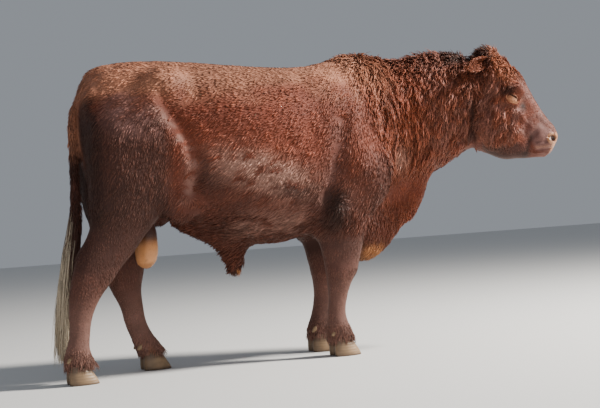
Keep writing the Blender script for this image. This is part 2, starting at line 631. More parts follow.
def zones(p):
    """The coat's regions as smooth masks of points of the straight frame, and the points'
    distance from the nostril."""
    x, y, z = p.T
    down, out = face_place(p)
    fore, hind = leg_masks(p)
    # The head ends behind the cheek on a slanting line from the poll to the throat.
    head = rise(x + 0.35 * (z - 1.05), 1.235, 1.285)
    neck = rise(x + 0.25 * (z - 0.9), 0.66, 0.78) * (1 - head)
    muzzle = (head * rise(x + 0.45 * (z - 0.93), 1.520, 1.548) * rise(down, 0.40, 0.455)
              * np.maximum(rise(out, -0.004, -0.034), rise(down, 0.50, 0.54)))
    nostril = np.hypot(np.hypot(x - 1.634, z - 0.932), 0.5 * (np.abs(y) - 0.066))
    pad = head * np.maximum(rise(nostril, 0.031, 0.025), rise(x - 0.4 * (z - 0.93), 1.632, 1.646))
    cheek = (head * rise(down, 0.46, 0.38) * rise(x, 1.52, 1.45) * rise(np.abs(y), 0.045, 0.075)
             * rise(out, -0.005, -0.045))
    brow = head * rise(down, 0.25, 0.15) * rise(out, -0.07, -0.02)
    tail = rise(x, -0.625, -0.645) * rise(np.abs(y), 0.045, 0.030) * rise(z, 1.24, 1.18)
    nape = head * rise(x, 1.385, 1.345) * rise(z, 1.13, 1.22)
    return {"fore": fore, "hind": hind, "head": head, "neck": neck, "nape": nape, "muzzle": muzzle,
            "cheek": cheek, "brow": brow, "tail": tail, "bag": bag_mask(p), "pad": pad,
            "nostril": nostril}


def srgb(text):
    """One sRGB hex colour as linear numbers: ((c + 0.055) / 1.055)^2.4 above 0.04045."""
    c = np.array([int(text[i:i + 2], 16) for i in (1, 3, 5)]) / 255
    return np.where(c <= 0.04045, c / 12.92, ((c + 0.055) / 1.055) ** 2.4)


def mix(a, b, t):
    """a + (b - a) t, a row for each point."""
    return a + (b - a) * np.asarray(t)[:, None]


def spot(x, z, at, size, power=2):
    """A patch of colour: exp(-((x - a) / p)^2 - ((z - b) / q)^power), one at its middle."""
    return np.exp(-(((x - at[0]) / size[0]) ** 2 + ((z - at[1]) / size[1]) ** power))


def band(offset, width):
    """A stripe of colour: exp(-(offset / width)^2), one along the line where the offset is 0."""
    return np.exp(-(offset / width) ** 2)


def trunk_colour(p, zone, colours):
    """The trunk and legs: deep mahogany, lighter and more orange along the upper back, darker on
    the lower sides and legs, and silvery where the coat's nap turns."""
    x, y, z = p.T
    red, back, low, leg, pale, dark, grey = (colours[name] for name in (
        "coat", "back", "low", "leg", "pale", "dark", "muzzle"))
    width = np.abs(y)
    side = rise(width, 0.18, 0.25)
    streak = cloud(np.stack([x + 1.6 * z, 0.2 * y, 2.4 * z - 0.8 * x], -1), 0.045, 8)
    ragged = z + 0.09 * (cloud(p, 0.055, 14) - 0.5)
    c = mix(np.tile(red, (len(p), 1)), back, rise(ragged, 1.13, 1.31) * rise(x, 0.95, 0.60))
    c = mix(c, back * 1.35, 0.8 * rise(z, 1.19, 1.25) * rise(x, -0.22, -0.36))
    c = mix(c, low, rise(z, 0.98, 0.62) * rise(x, 1.0, 0.7))
    ham = rise(x, -0.24, -0.34) * rise(z, 1.20, 1.08) * rise(z, 0.50, 0.62)
    c = mix(c, leg * 0.45, 0.85 * ham)
    flank = spot(x, z, (-0.12, 0.815), (0.075, 0.065))
    c = mix(c, dark, 0.8 * flank)
    # The legs are darkest above the knee and hock, and mauve along the cannons.
    legs = np.maximum(zone["fore"], zone["hind"])
    c = mix(c, leg, legs)
    c = mix(c, dark, 0.55 * legs * rise(z, 0.42, 0.52))
    cannon = legs * (0.75 * zone["hind"] + 0.5 * zone["fore"]) * rise(z, 0.42, 0.22)
    c = mix(c, 0.75 * grey + 0.35 * pale, cannon)
    # The ribs' silvery patch fades out downward in ragged dark clumps.
    ribs = spot(x, z + 0.30 * (x - 0.1), (0.11, 0.845), (0.20, 0.075)) * side
    c = mix(c, (grey + pale) * 0.8, np.clip(1.6 * ribs * rise(streak, 0.25, 0.50), 0, 0.9))
    clumpy = spot(x, z, (0.24, 0.76), (0.09, 0.06)) * side
    c = mix(c, dark, 0.8 * clumpy * rise(cloud(p, 0.04, 17), 0.52, 0.42))
    # The thigh shines mauve above, and its bulging front edge catches a pale curved line.
    sheen = spot(x + 0.5 * (z - 1.13), z, (-0.475, 1.13), (0.10, 0.10), 4) * side
    c = mix(c, grey * 1.5, sheen * (0.35 + 0.65 * rise(streak, 0.25, 0.6)))
    front = -0.205 - 1.15 * np.maximum(z - 0.89, 0) ** 1.5 - 1.9 * np.minimum(z - 0.87, 0) ** 2
    edge = band(x - front, 0.026) * rise(z, 0.70, 0.78) * rise(z, 1.20, 1.12) * side
    broken = rise(streak + 0.5 * (cloud(p, 0.02, 19) - 0.5), 0.25, 0.6)
    c = mix(c, grey + 0.4 * pale, 0.8 * edge * broken)
    before = band(x - front - 0.055, 0.030) * rise(z, 0.76, 0.84) * rise(z, 1.14, 1.05) * side
    c = mix(c, dark, 0.55 * before * rise(z, 1.0, 0.9))
    # The groove beside the tail, the belly's pale edge and the point of the shoulder.
    behind = (rise(x, -0.560, -0.605) * rise(width, 0.045, 0.075)
              * rise(z, 0.62, 0.70) * rise(z, 1.26, 1.18))
    c = mix(c, dark * 0.6, 0.8 * behind)
    belly = (band(z - 0.625 - 0.10 * (x - 0.1) ** 2, 0.055)
             * rise(x, -0.05, 0.05) * rise(x, 0.36, 0.28))
    c = mix(c, 0.9 * grey + 0.6 * pale, 0.85 * belly * rise(streak, 0.1, 0.5))
    c = mix(c, grey + pale, 0.85 * spot(x, z, (0.865, 0.905), (0.045, 0.055)))
    # The hollow behind the shoulder, and the dark hair under the shoulder and at the elbow.
    hollow = (band(x - 0.455 - 0.24 * (z - 0.93), 0.05)
              * rise(z, 0.62, 0.72) * rise(z, 1.12, 1.0))
    c = mix(c, dark, 0.40 * hollow)
    c = mix(c, grey, 0.45 * hollow * streak)
    under_point = spot(x, z, (0.72, 0.78), (0.16, 0.13)) * rise(width, 0.08, 0.14)
    c = mix(c, red * 0.35, 0.75 * under_point)
    elbow = spot(x, z, (0.445, 0.67), (0.075, 0.10), 4) * rise(width, 0.15, 0.22)
    c = mix(c, dark * 0.45, 0.95 * elbow)
    crest = zone["neck"] * rise(z, 1.24, 1.36)
    return mix(c, dark, 0.45 * crest)


def head_colour(c, p, normals, zone, colours):
    """The head's colours laid over c: mottled red, an orange forehead, a dark nape and poll, dark
    hollows by the eye and jaw, and the mauve and peach skin of the muzzle."""
    x, y, z = p.T
    red, dark, grey = colours["coat"], colours["dark"], colours["muzzle"]
    head, width = zone["head"], np.abs(y)
    sides = rise(width, 0.05, 0.08)
    c = mix(c, red, head)
    mottled = rise(cloud(p, 0.030, 23) + 0.5 * (cloud(p, 0.012, 24) - 0.5), 0.32, 0.66)
    where = np.maximum(head, 0.8 * zone["neck"] * rise(x, 0.95, 1.1))
    c = mix(c, grey * 1.2, (0.18 + 0.45 * mottled) * where)
    c = mix(c, colours["brow"], zone["brow"] * 0.8)
    c = mix(c, 0.5 * (red + dark), 0.9 * zone["nape"] * rise(z, 1.16, 1.28))
    c = mix(c, dark * 0.8, 0.85 * head * rise(x, 1.395, 1.365) * rise(z, 1.30, 1.345))
    under = rise(-normals[:, 2], 0.25, 0.75) * head * rise(x, 1.62, 1.55)
    c = mix(c, dark * 0.7, 0.8 * under)
    c = mix(c, dark, 0.6 * head * rise(z, 0.945, 0.905) * rise(x, 1.50, 1.44))
    c = mix(c, dark, 0.5 * head * rise(z, 0.93, 0.88) * rise(x, 1.53, 1.48))
    eye = spot(x, z, (1.459, 1.13), (0.045, 0.035)) * sides
    c = mix(c, colours["brow"], 0.5 * eye)
    # The muzzle's side, the nose and the nostril, the lip's edge and the chin.
    c = mix(c, grey * 1.5, zone["muzzle"])
    c = mix(c, colours["lip"], zone["pad"])
    c = mix(c, dark, 0.9 * rise(zone["nostril"], 0.0175, 0.0145) * head)
    c = mix(c, colours["lip"], 0.35 * zone["muzzle"] * band(z - 0.897 - 0.05 * (x - 1.59), 0.006))
    c = mix(c, red * 0.7, 0.8 * head * rise(z, 0.888, 0.872) * rise(x, 1.50, 1.54))
    # The groove behind the muzzle and the one behind the cheek.
    groove = band(x - 1.522 - 0.35 * (z - 0.92), 0.013) * rise(z, 0.975, 0.94) * head
    c = mix(c, dark * 0.6, 0.8 * groove)
    rear = band(x - 1.268 - 0.10 * (z - 1.05), 0.022) * rise(z, 1.19, 1.13) * sides
    c = mix(c, dark * 0.5, 0.85 * rear * rise(z, 0.93, 0.96))
    # The creased skin over the eye, and the hollow at its inner corner.
    wrinkles = spot(x, z, (1.438, 1.180), (0.040, 0.028), 4) * rise(width, 0.06, 0.09)
    c = mix(c, dark * 0.6, 0.9 * wrinkles)
    inner = spot(x, z, (1.506, 1.095), (0.017, 0.022)) * sides
    return mix(c, dark * 0.4, 0.95 * inner)


def paint(p, normals, colours):
    """The coat's colour from the place and the way the surface faces. The brisket and bag are
    bare, the tail is orange at its head, the underside is darker, and all of it is uneven."""
    x, y, z = p.T
    zone = zones(p)
    back, dark, hide = colours["back"], colours["dark"], colours["hide"]
    c = head_colour(trunk_colour(p, zone, colours), p, normals, zone, colours)
    brisket = rise(z, 0.53, 0.46) * rise(x, 0.56, 0.62) * rise(x, 0.82, 0.76) * (1 - zone["fore"])
    c = mix(c, hide, 0.8 * brisket)
    c = mix(c, hide, 0.9 * zone["bag"] * rise(z, 0.61, 0.55))
    c = mix(c, dark, 0.5 * zone["bag"] * rise(z, 0.55, 0.62))
    c = mix(c, dark, 0.5 * zone["tail"])
    tail_top = rise(x, -0.57, -0.60) * rise(np.abs(y), 0.060, 0.042) * rise(z, 0.94, 1.04)
    c = mix(c, back * 0.9, 0.85 * tail_top)
    under = rise(-normals[:, 2], 0.4, 0.9) * (1 - zone["head"])
    c = mix(c, dark, 0.35 * under)
    uneven = cloud(p, 0.16, 3) - 0.5
    uneven += 0.7 * (cloud(p, 0.05, 5) - 0.5) + 0.6 * (cloud(p, 0.018, 6) - 0.5)
    return c * (1 + 0.36 * uneven)[:, None]


# Whorls of the coat: X, Z, radius and turn, at the elbow, behind the shoulder and on the flank.
WHORLS = (
    (0.478, 0.682, 0.060, 1.6),
    (0.497, 0.946, 0.050, -1.6),
    (-0.21, 0.770, 0.050, 1.6),
)


def lie(p, normals):
    """The way the coat lies: back and a little down on the trunk, down on the legs and cheeks,
    down and back in slow waves on the neck, away from a whorl on the forehead, and round the
    whorls of the elbow, shoulder and flank. It is laid flat on the surface."""
    x, _, z = p.T
    zone = zones(p)
    way = np.stack([-np.ones(len(p)), np.zeros(len(p)), -0.30 - 0.5 * rise(z, 1.2, 0.9)], -1)
    way[:, 2] -= 0.9 * rise(x, 0.30, 0.62)
    wave = cloud(p, 0.05, 11) - 0.5
    down_neck = np.stack([-0.35 + 0.9 * wave, np.zeros(len(p)), -np.ones(len(p))], -1)
    way = mix(way, down_neck, zone["neck"])
    legs = np.maximum(zone["fore"], zone["hind"])
    way = mix(way, np.array([-0.12, 0.0, -1.0]), legs)
    thigh = rise(x, -0.15, -0.35) * rise(z, 1.2, 1.0) * (1 - legs)
    way = mix(way, np.array([-0.35, 0.0, -1.0]), thigh)
    down, _ = face_place(p)
    from_whorl = np.stack([p[:, 0] - 1.50, 1.6 * p[:, 1], p[:, 2] - 1.245], -1)
    face = unit(from_whorl) * rise(np.linalg.norm(from_whorl, axis=1), 0.30, 0.10)[:, None]
    face = face + FACE_DOWN * rise(down, 0.14, 0.26)[:, None]
    cheek_way = np.stack([-0.45 + 0.8 * wave, np.zeros(len(p)), -np.ones(len(p))], -1)
    face = mix(face, cheek_way, zone["cheek"])
    way = mix(way, face, zone["head"])
    way = mix(way, np.array([0.0, 0.0, -1.0]), np.maximum(zone["tail"], zone["bag"]))
    for cx, cz, size, turn in WHORLS:
        q = np.stack([x - cx, np.zeros(len(p)), z - cz], -1)
        near = np.exp(-(q ** 2).sum(1) / size ** 2) * (1 - zone["head"])
        swirl = np.stack([-turn * q[:, 2], np.zeros(len(p)), turn * q[:, 0]], -1) * 0.8 + q
        way = mix(way, unit(swirl), 0.7 * near)
    curly = 0.3 + 0.6 * rise(x, -0.35, -0.15) * rise(x, 0.75, 0.60) * rise(z, 0.70, 0.85)
    way += curly[:, None] * (np.stack([cloud(p, 0.032, s) for s in (21, 22, 23)], -1) - 0.5)
    return unit(square_to(way, normals))


def scatter(points, triangles, normals, density, rng):
    """Random roots on the triangles: a triangle has its area times its density roots on the mean,
    at weights of the three corners that are even over it. Gives points, normals."""
    a, b, c = (points[triangles[:, i]] for i in range(3))
    area = np.linalg.norm(np.cross(b - a, c - a), axis=1) / 2
    expected = area * density
    number = (expected + rng.random(len(expected))).astype(int)
    which = np.repeat(np.arange(len(triangles)), number)
    u, v = rng.random(len(which)), rng.random(len(which))
    fold = u + v > 1
    u, v = np.where(fold, 1 - u, u), np.where(fold, 1 - v, v)
    t = triangles[which]
    a, b, c = a[which], b[which], c[which]
    root = a + u[:, None] * (b - a) + v[:, None] * (c - a)
    normal = unit(normals[t[:, 0]] * (1 - u - v)[:, None] + normals[t[:, 1]] * u[:, None]
                  + normals[t[:, 2]] * v[:, None])
    return root, normal


def locks(root, normal, way, length, width, lift, curl, rings, rng, sink=0.002):
    """Tapered, flattened locks with three sides. A lock's middle line leaves the root along the
    lie, rises by sin(lift) at first and flattens out, and swings from side to side by its curl.
    Its half width goes as (0.55 + 1.5 s (1 - s)) (1 - s)^0.45 from root to tip. Gives the points,
    the faces' corners for one lock, and each point's place s from root to tip."""
    n = len(root)
    side = np.cross(normal, way)
    s = np.linspace(0, 1, rings + 1)[None, :, None]
    phase = rng.random((n, 1, 1)) * WHOLE_TURN
    turns = (0.8 + 0.7 * rng.random((n, 1, 1))) * WHOLE_TURN
    reach, half = length[:, None, None], width[:, None, None]
    rise_up = np.sin(lift)[:, None, None]
    swing = curl[:, None, None] * reach
    line = (root[:, None] - sink * normal[:, None]
            + way[:, None] * reach * s * np.cos(lift)[:, None, None]
            + normal[:, None] * (reach * rise_up * (s - 0.45 * s * s) + sink * s
                                 + 0.5 * swing * s * (np.cos(phase + turns * s) - np.cos(phase)))
            + side[:, None] * swing * s * np.sin(phase + turns * s))
    body = (0.55 + 1.5 * s * (1 - s)) * (1 - s) ** 0.45
    # Locks that lie flat are also rolled and ridged less.
    loose = rise(lift, 0.08, 0.22)[:, None, None]
    tilt = rng.normal(0, 1, (n, 1, 1)) * (0.10 + 0.25 * loose)
    ridge = 0.18 + 0.24 * loose
    flat = side[:, None] * np.cos(tilt) + normal[:, None] * np.sin(tilt)
    thick = normal[:, None] * np.cos(tilt) - side[:, None] * np.sin(tilt)
    rim = line[:, :rings]
    w = (half * body)[:, :rings]
    corners = np.stack([rim - flat * w - thick * 0.12 * w, rim + flat * w - thick * 0.12 * w,
                        rim + thick * ridge * w], 2)
    points = np.concatenate([corners.reshape(n, rings * 3, 3), line[:, rings:]], 1)
    place = np.concatenate([np.repeat(np.linspace(0, 1, rings + 1)[:rings], 3), [1.0]])
    faces = [(0, 2, 1)]
    for k in range(rings - 1):
        for i in range(3):
            j = (i + 1) % 3
            a, b, c, d = 3 * k + i, 3 * k + j, 3 * k + 3 + j, 3 * k + 3 + i
            faces += [(a, b, c), (a, c, d)]
    tip = 3 * rings
    faces += [(3 * rings - 3 + i, 3 * rings - 3 + (i + 1) % 3, tip) for i in range(3)]
    return points, np.array(faces), place


def unwrap(p):
    """An unwrap of the flesh by its own shape: the trunk, neck and head by their length and the
    angle round them, and each leg in a strip by its height and the angle round it."""
    x, y, z = p.T
    zone = zones(p)
    middle = np.interp(x, [-0.6, 0.6, 1.1, 1.4, 1.6], [1.0, 0.95, 1.1, 1.12, 0.93])
    u = 0.02 + 0.66 * (x + 0.85) / 2.6
    v = (np.arctan2(z - middle, y) / WHOLE_TURN + 0.5) * 0.96 + 0.02
    # Each leg's zone, the X of its foot, how far it leans forward going up, and its side.
    for k, (name, foot_x, lean, side) in enumerate((
            ("fore", 0.48, 0.0, -1), ("fore", 0.50, 0.0, 1),
            ("hind", -0.66, 0.55, -1), ("hind", -0.40, 0.165, 1))):
        centre_x = foot_x + lean * np.maximum(z - 0.35, 0)
        around = np.arctan2(y - side * 0.145, x - centre_x) / WHOLE_TURN + 0.5
        leg = (zone[name] > 0.5) & (np.sign(y) == side)
        u = np.where(leg, 0.71 + 0.27 * around, u)
        v = np.where(leg, 0.01 + 0.25 * k + 0.23 * np.clip(z / 0.72, 0, 1), v)
    return np.stack([u, v], -1)


# ---- Meshes and materials ----

def mesh_object(name, points, quads, triangles, tint=None, uv=None, strands=None):
    """A smooth mesh written as whole arrays, with a colour at each point and a corner UV."""
    mesh = bpy.data.meshes.new(name)
    quads = np.asarray(quads, np.int32).reshape(-1, 4)
    triangles = np.asarray(triangles, np.int32).reshape(-1, 3)
    corners = np.concatenate([quads.ravel(), triangles.ravel()])
    starts = np.concatenate([np.arange(len(quads)) * 4, 4 * len(quads) + np.arange(len(triangles)) * 3])
    mesh.vertices.add(len(points))
    mesh.vertices.foreach_set("co", np.asarray(points, np.float32).ravel())
    mesh.loops.add(len(corners))
    mesh.loops.foreach_set("vertex_index", corners.astype(np.int32))
    mesh.polygons.add(len(starts))
    mesh.polygons.foreach_set("loop_start", starts.astype(np.int32))
    if tint is not None:
        layer = mesh.color_attributes.new("Tint", "FLOAT_COLOR", "POINT")
        rgba = np.concatenate([np.clip(tint, 0.001, 1), np.ones((len(tint), 1))], 1)
        layer.data.foreach_set("color", rgba.astype(np.float32).ravel())
    if uv is not None:
        layer = mesh.uv_layers.new(name="OFBake")
        layer.data.foreach_set("uv", np.asarray(uv, np.float32)[corners].ravel())
    if strands is not None:
        layer = mesh.attributes.new("Strand", "FLOAT_VECTOR", "POINT")
        flat = np.concatenate([strands, np.zeros((len(strands), 1))], 1)
        layer.data.foreach_set("vector", flat.astype(np.float32).ravel())
    mesh.update(calc_edges=True)
    mesh.validate(clean_customdata=False)
    item = bpy.data.objects.new(name, mesh)
    bpy.context.collection.objects.link(item)
    return item


def grid_faces(rows, columns):
    """Quads of a grid of points that closes on itself along its columns."""
    r, c = np.meshgrid(np.arange(rows - 1), np.arange(columns), indexing="ij")
    a, b = r * columns + c, r * columns + (c + 1) % columns
    return np.stack([a, b, b + columns, a + columns], -1).reshape(-1, 4)


def halves(quads):
    """Each quad as two triangles."""
    return np.concatenate([quads[:, [0, 1, 2]], quads[:, [0, 2, 3]]])


def torus_faces(rows, columns):
    """Quads of a grid of points that closes on itself both ways."""
    r, c = np.meshgrid(np.arange(rows), np.arange(columns), indexing="ij")
    n = (r + 1) % rows
    return np.stack([r * columns + c, r * columns + (c + 1) % columns,
                     n * columns + (c + 1) % columns, n * columns + c], -1).reshape(-1, 4)


def node(material, kind, settings=(), links=(), **properties):
    """Adds one shader node, sets its sockets and properties, and links other nodes' outputs in."""
    made = material.node_tree.nodes.new(kind)
    for name, value in properties.items():
        setattr(made, name, value)
    for socket, value in dict(settings).items():
        made.inputs[socket].default_value = value
    for socket, source in dict(links).items():
        material.node_tree.links.new(source, made.inputs[socket])
    return made


def new_material(name):
    """An empty material and its main shader."""
    material = bpy.data.materials.new(name)
    material.use_nodes = True
    return material, material.node_tree.nodes["Principled BSDF"]


def tinted_material(name, roughness):
    """A material that takes its points' tint. Gives it with its shader, tint and place nodes."""
    material, shader = new_material(name)
    tint = node(material, "ShaderNodeAttribute", attribute_name="Tint", attribute_type="GEOMETRY")
    place = node(material, "ShaderNodeTexCoord")
    material.node_tree.links.new(tint.outputs["Color"], shader.inputs["Base Color"])
    shader.inputs["Roughness"].default_value = roughness
    return material, shader, tint, place


def add_bumps(material, shader, height, strength, distance):
    """Relief on the shader's normal from an output that gives the height."""
    relief = node(material, "ShaderNodeBump", {"Strength": strength, "Distance": distance},
                  {"Height": height})
    material.node_tree.links.new(relief.outputs["Normal"], shader.inputs["Normal"])


def coat_material(name, roughness, bump=0.0, sheen=0.25, strands=False):
    """A coat of hair coloured by its points' tint, with fine variation in Object coordinates."""
    material, shader, tint, place = tinted_material(name, roughness)
    # Hairs of slightly different reds, 4 mm apart.
    grain = node(material, "ShaderNodeTexNoise", {"Scale": 240.0, "Detail": 3.0},
                 {"Vector": place.outputs["Object"]})
    level = node(material, "ShaderNodeMapRange",
                 {"From Min": 0.3, "From Max": 0.7, "To Min": 0.78, "To Max": 1.2},
                 {"Value": grain.outputs["Fac"]})
    colour = node(material, "ShaderNodeVectorMath", (),
                  {0: tint.outputs["Color"], 1: level.outputs["Result"]}, operation="MULTIPLY")
    material.node_tree.links.new(colour.outputs["Vector"], shader.inputs["Base Color"])
    shader.inputs["Specular IOR Level"].default_value = 0.25
    shader.inputs["Sheen Weight"].default_value = sheen
    shader.inputs["Sheen Roughness"].default_value = 0.45
    shader.inputs["Sheen Tint"].default_value = (1.0, 0.62, 0.48, 1.0)
    if strands:
        # Single hairs along each lock, about ten across it.
        along = node(material, "ShaderNodeAttribute", attribute_name="Strand", attribute_type="GEOMETRY")
        stretch = node(material, "ShaderNodeVectorMath", {1: (10.0, 1.2, 1.0)}, {0: along.outputs["Vector"]},
                       operation="MULTIPLY")
        hairs = node(material, "ShaderNodeTexNoise", {"Scale": 1.0, "Detail": 2.0},
                     {"Vector": stretch.outputs["Vector"]})
        dark = node(material, "ShaderNodeMapRange",
                    {"From Min": 0.32, "From Max": 0.62, "To Min": 0.55, "To Max": 1.25},
                    {"Value": hairs.outputs["Fac"]})
        both = node(material, "ShaderNodeMath", (), {0: level.outputs["Result"], 1: dark.outputs["Result"]},
                    operation="MULTIPLY")
        material.node_tree.links.new(both.outputs["Value"], colour.inputs[1])
        add_bumps(material, shader, hairs.outputs["Fac"], 0.5, 0.001)
    if bump:
        add_bumps(material, shader, grain.outputs["Fac"], bump, 0.002)
    return material


def plain_material(name, colour, roughness):
    """One colour and finish over the whole piece."""
    material, shader = new_material(name)
    shader.inputs["Base Color"].default_value = (*colour, 1.0)
    shader.inputs["Roughness"].default_value = roughness
    return material


# ---- Pieces ----

def flesh_surface(coarse, fine):
    """The skin of the straight frame: a coarse grid to the neck and a fine grid for the head,
    with the two open rims zipped together. Gives points, quads, triangles and normals."""
    relief = [*RELIEF.values(), *HEAD_RELIEF.values()]
    values, axes = field(BODY_LOW, BODY_HIGH, coarse, relief)
    points, quads = surface(values, axes)
    join = axes[0][-1]
    head_low = (join - 0.3 * coarse, HEAD_LOW_Y, HEAD_LOW_Z)
    values, axes = field(head_low, HEAD_HIGH, fine, relief, NOSTRILS)
    head_points, head_quads = surface(values, axes)
    first, first_angle = rim(points, quads, points[:, 0].max(), coarse)
    second, second_angle = rim(head_points, head_quads, head_points[:, 0].min(), fine)
    triangles = zip_rims(first, first_angle, second + len(points), second_angle)
    points = np.concatenate([points, head_points])
    quads = np.concatenate([quads, head_quads + len(points) - len(head_points)])
    return points, quads, triangles, point_normals(points, quads, triangles)


def growth(p):
    """The coat's length, half width, lift, curl and thousands of locks to the square metre."""
    x, y, z = p.T
    zone = zones(p)
    fore_hind = np.maximum(zone["fore"], zone["hind"])
    crest = zone["neck"] * rise(z, 1.20, 1.34) * rise(x, 0.82, 0.98)
    dewlap = zone["neck"] * rise(z, 0.90, 0.74)
    belly = rise(z, 0.72, 0.60) * rise(x, -0.3, -0.2) * (1 - fore_hind) * (1 - zone["head"])
    down, out = face_place(p)
    poll = zone["head"] * rise(down, 0.20, 0.08) * rise(out, -0.10, -0.03)
    knee_down = fore_hind * rise(z, 0.42, 0.34)
    fetlock = fore_hind * rise(z, 0.17, 0.13)
    table = (
        # mask, length, half width, lift, curl, thousands to the square metre
        (zone["neck"], 0.050, 0.0042, 0.30, 0.11, 16.5),
        (crest, 0.052, 0.0038, 0.50, 0.18, 22),
        (dewlap, 0.024, 0.0035, 0.14, 0.05, 16),
        (belly, 0.038, 0.0038, 0.28, 0.08, 14),
        (fore_hind, 0.025, 0.0032, 0.07, 0.03, 20),
        (knee_down, 0.018, 0.0027, 0.07, 0.02, 26),
        (fetlock, 0.026, 0.0025, 0.25, 0.05, 26),
        (fetlock * rise(z, 0.115, 0.10), 0.046, 0.0025, 0.22, 0.05, 34),
        (zone["head"], 0.013, 0.0019, 0.16, 0.03, 55),
        (zone["cheek"], 0.040, 0.0031, 0.34, 0.15, 36),
        (zone["brow"], 0.028, 0.0029, 0.42, 0.20, 38),
        (zone["nape"], 0.046, 0.0036, 0.45, 0.18, 26),
        (poll, 0.040, 0.0033, 0.55, 0.24, 40),
        (zone["tail"], 0.034, 0.0036, 0.22, 0.05, 20),
        (zone["bag"], 0.010, 0.0030, 0.15, 0.02, 8),
        (zone["muzzle"], 0.007, 0.0015, 0.13, 0.0, 80),
        (zone["pad"], 0.004, 0.0012, 0.15, 0.0, 0),
    )
    values = np.tile([0.030, 0.0034, 0.10, 0.04, 13.5], (len(p), 1))
    for mask, *row in table:
        values = mix(values, np.array(row), mask)
    near_eye = np.hypot(x - EYE_CENTRE[0] - 0.004, z - EYE_CENTRE[2] + 0.004)
    near_eye = near_eye + 0.3 * np.maximum(0, 0.09 - np.abs(y))
    values[:, 4] *= (near_eye > 0.024) | (zone["head"] < 0.5)
    values[:, 0] *= np.where(zone["head"] > 0.5, 0.35 + 0.65 * rise(near_eye, 0.03, 0.075), 1)
    values[:, 4] *= (z > 0.080)
    return values


def clumps(p):
    """How high a point stands in the coat's clumps, from 0 to 1: noise that is four times longer
    down the neck and cheeks than across them, and even elsewhere."""
    zone = zones(p)
    long_hair = np.maximum.reduce([zone["neck"], zone["cheek"], zone["nape"]])
    down = np.stack([p[:, 0] + 0.010 * np.sin(80 * p[:, 2]), p[:, 1], 0.26 * p[:, 2]], -1)
    return mix(cloud(p, 0.020, 31)[:, None], cloud(down, 0.011, 32)[:, None], long_hair)[:, 0]


def closed_rings(rings):
    """A closed surface from rings of points: the rings, and a pole at the middle of each end.
    Gives points, quads and triangles, facing outwards when the rings turn anticlockwise as seen
    from the last one."""
    rows, columns = rings.shape[:2]
    points = np.concatenate([rings.reshape(-1, 3), rings[:1].mean(1), rings[-1:].mean(1)])
    i = np.arange(columns)
    j = (i + 1) % columns
    last = (rows - 1) * columns
    ends = np.concatenate([np.stack([j, i, np.full(columns, rows * columns)], -1),
                           np.stack([last + i, last + j, np.full(columns, rows * columns + 1)], -1)])
    return points, grid_faces(rows, columns), ends


def joined(parts):
    """Several (points, quads, triangles, tint) put into one set of arrays."""
    points, quads, triangles, tints, base = [], [], [], [], 0
    for p, q, t, c in parts:
        points.append(p)
        quads.append(np.asarray(q).reshape(-1, 4) + base)
        triangles.append(np.asarray(t).reshape(-1, 3) + base)
        tints.append(c)
        base += len(p)
    return np.concatenate(points), np.concatenate(quads), np.concatenate(triangles), np.concatenate(tints)


def local_axes(outward, along):
    """Three square axes: along, laid flat on the outward one; across; and the outward one."""
    n = unit(np.array(outward, float))
    a = np.array(along, float)
    a = unit(a - n * (a @ n))
    return a, np.cross(n, a), n


def eye_axes(side):
    """The eye's axes on one side: along its slit, up across it, and outwards."""
    a, b, n = local_axes((0.22, 0.95 * side, 0.10), (0.80, -0.20 * side, -0.62))
    return (a, b if b[2] > 0 else -b, n)


def colours_of(settings):
    """The settings' colours by name."""
    names = ("coat", "back", "low", "leg", "pale", "dark", "hide", "muzzle", "lip", "brow", "lid", "switch",
             "tip", "horn", "sole")
    return {name: np.array(getattr(settings, name)[:3]) for name in names}


def clumped(root, normal, tint):
    """The growth, roots and tint of the coat in clumps: a high clump's locks start higher and are
    longer, more lifted and paler. Under the neck and head and at the throat they are short."""
    values = growth(root)
    zone = zones(root)
    clump = clumps(root)
    long_hair = 0.8 * rise(values[:, 0], 0.025, 0.045) * (1 - zone["muzzle"])
    long_hair = long_hair * rise(root[:, 2], 0.55, 0.7)
    under = rise(-normal[:, 2], 0.45, 0.9) * np.maximum(zone["neck"], zone["head"])
    values[:, 0] *= (1 - 0.55 * under) * (1 + 0.5 * long_hair * (clump - 0.5))
    values[:, 2] *= (1 - 0.5 * under) * (1 + 0.9 * long_hair * (clump - 0.4))
    throat = spot(root[:, 0], root[:, 2], (1.275, 0.93), (0.05, 0.06))
    values[:, 0] *= 1 - 0.65 * throat
    values[:, 2:4] *= 1 - 0.9 * throat[:, None]
    root = root + normal * (0.010 * (1 - throat) * long_hair * rise(clump, 0.45, 0.85))[:, None]
    tint = tint * (1 + (0.6 + 0.25 * long_hair) * (clump - 0.5))[:, None]
    return values, root, tint


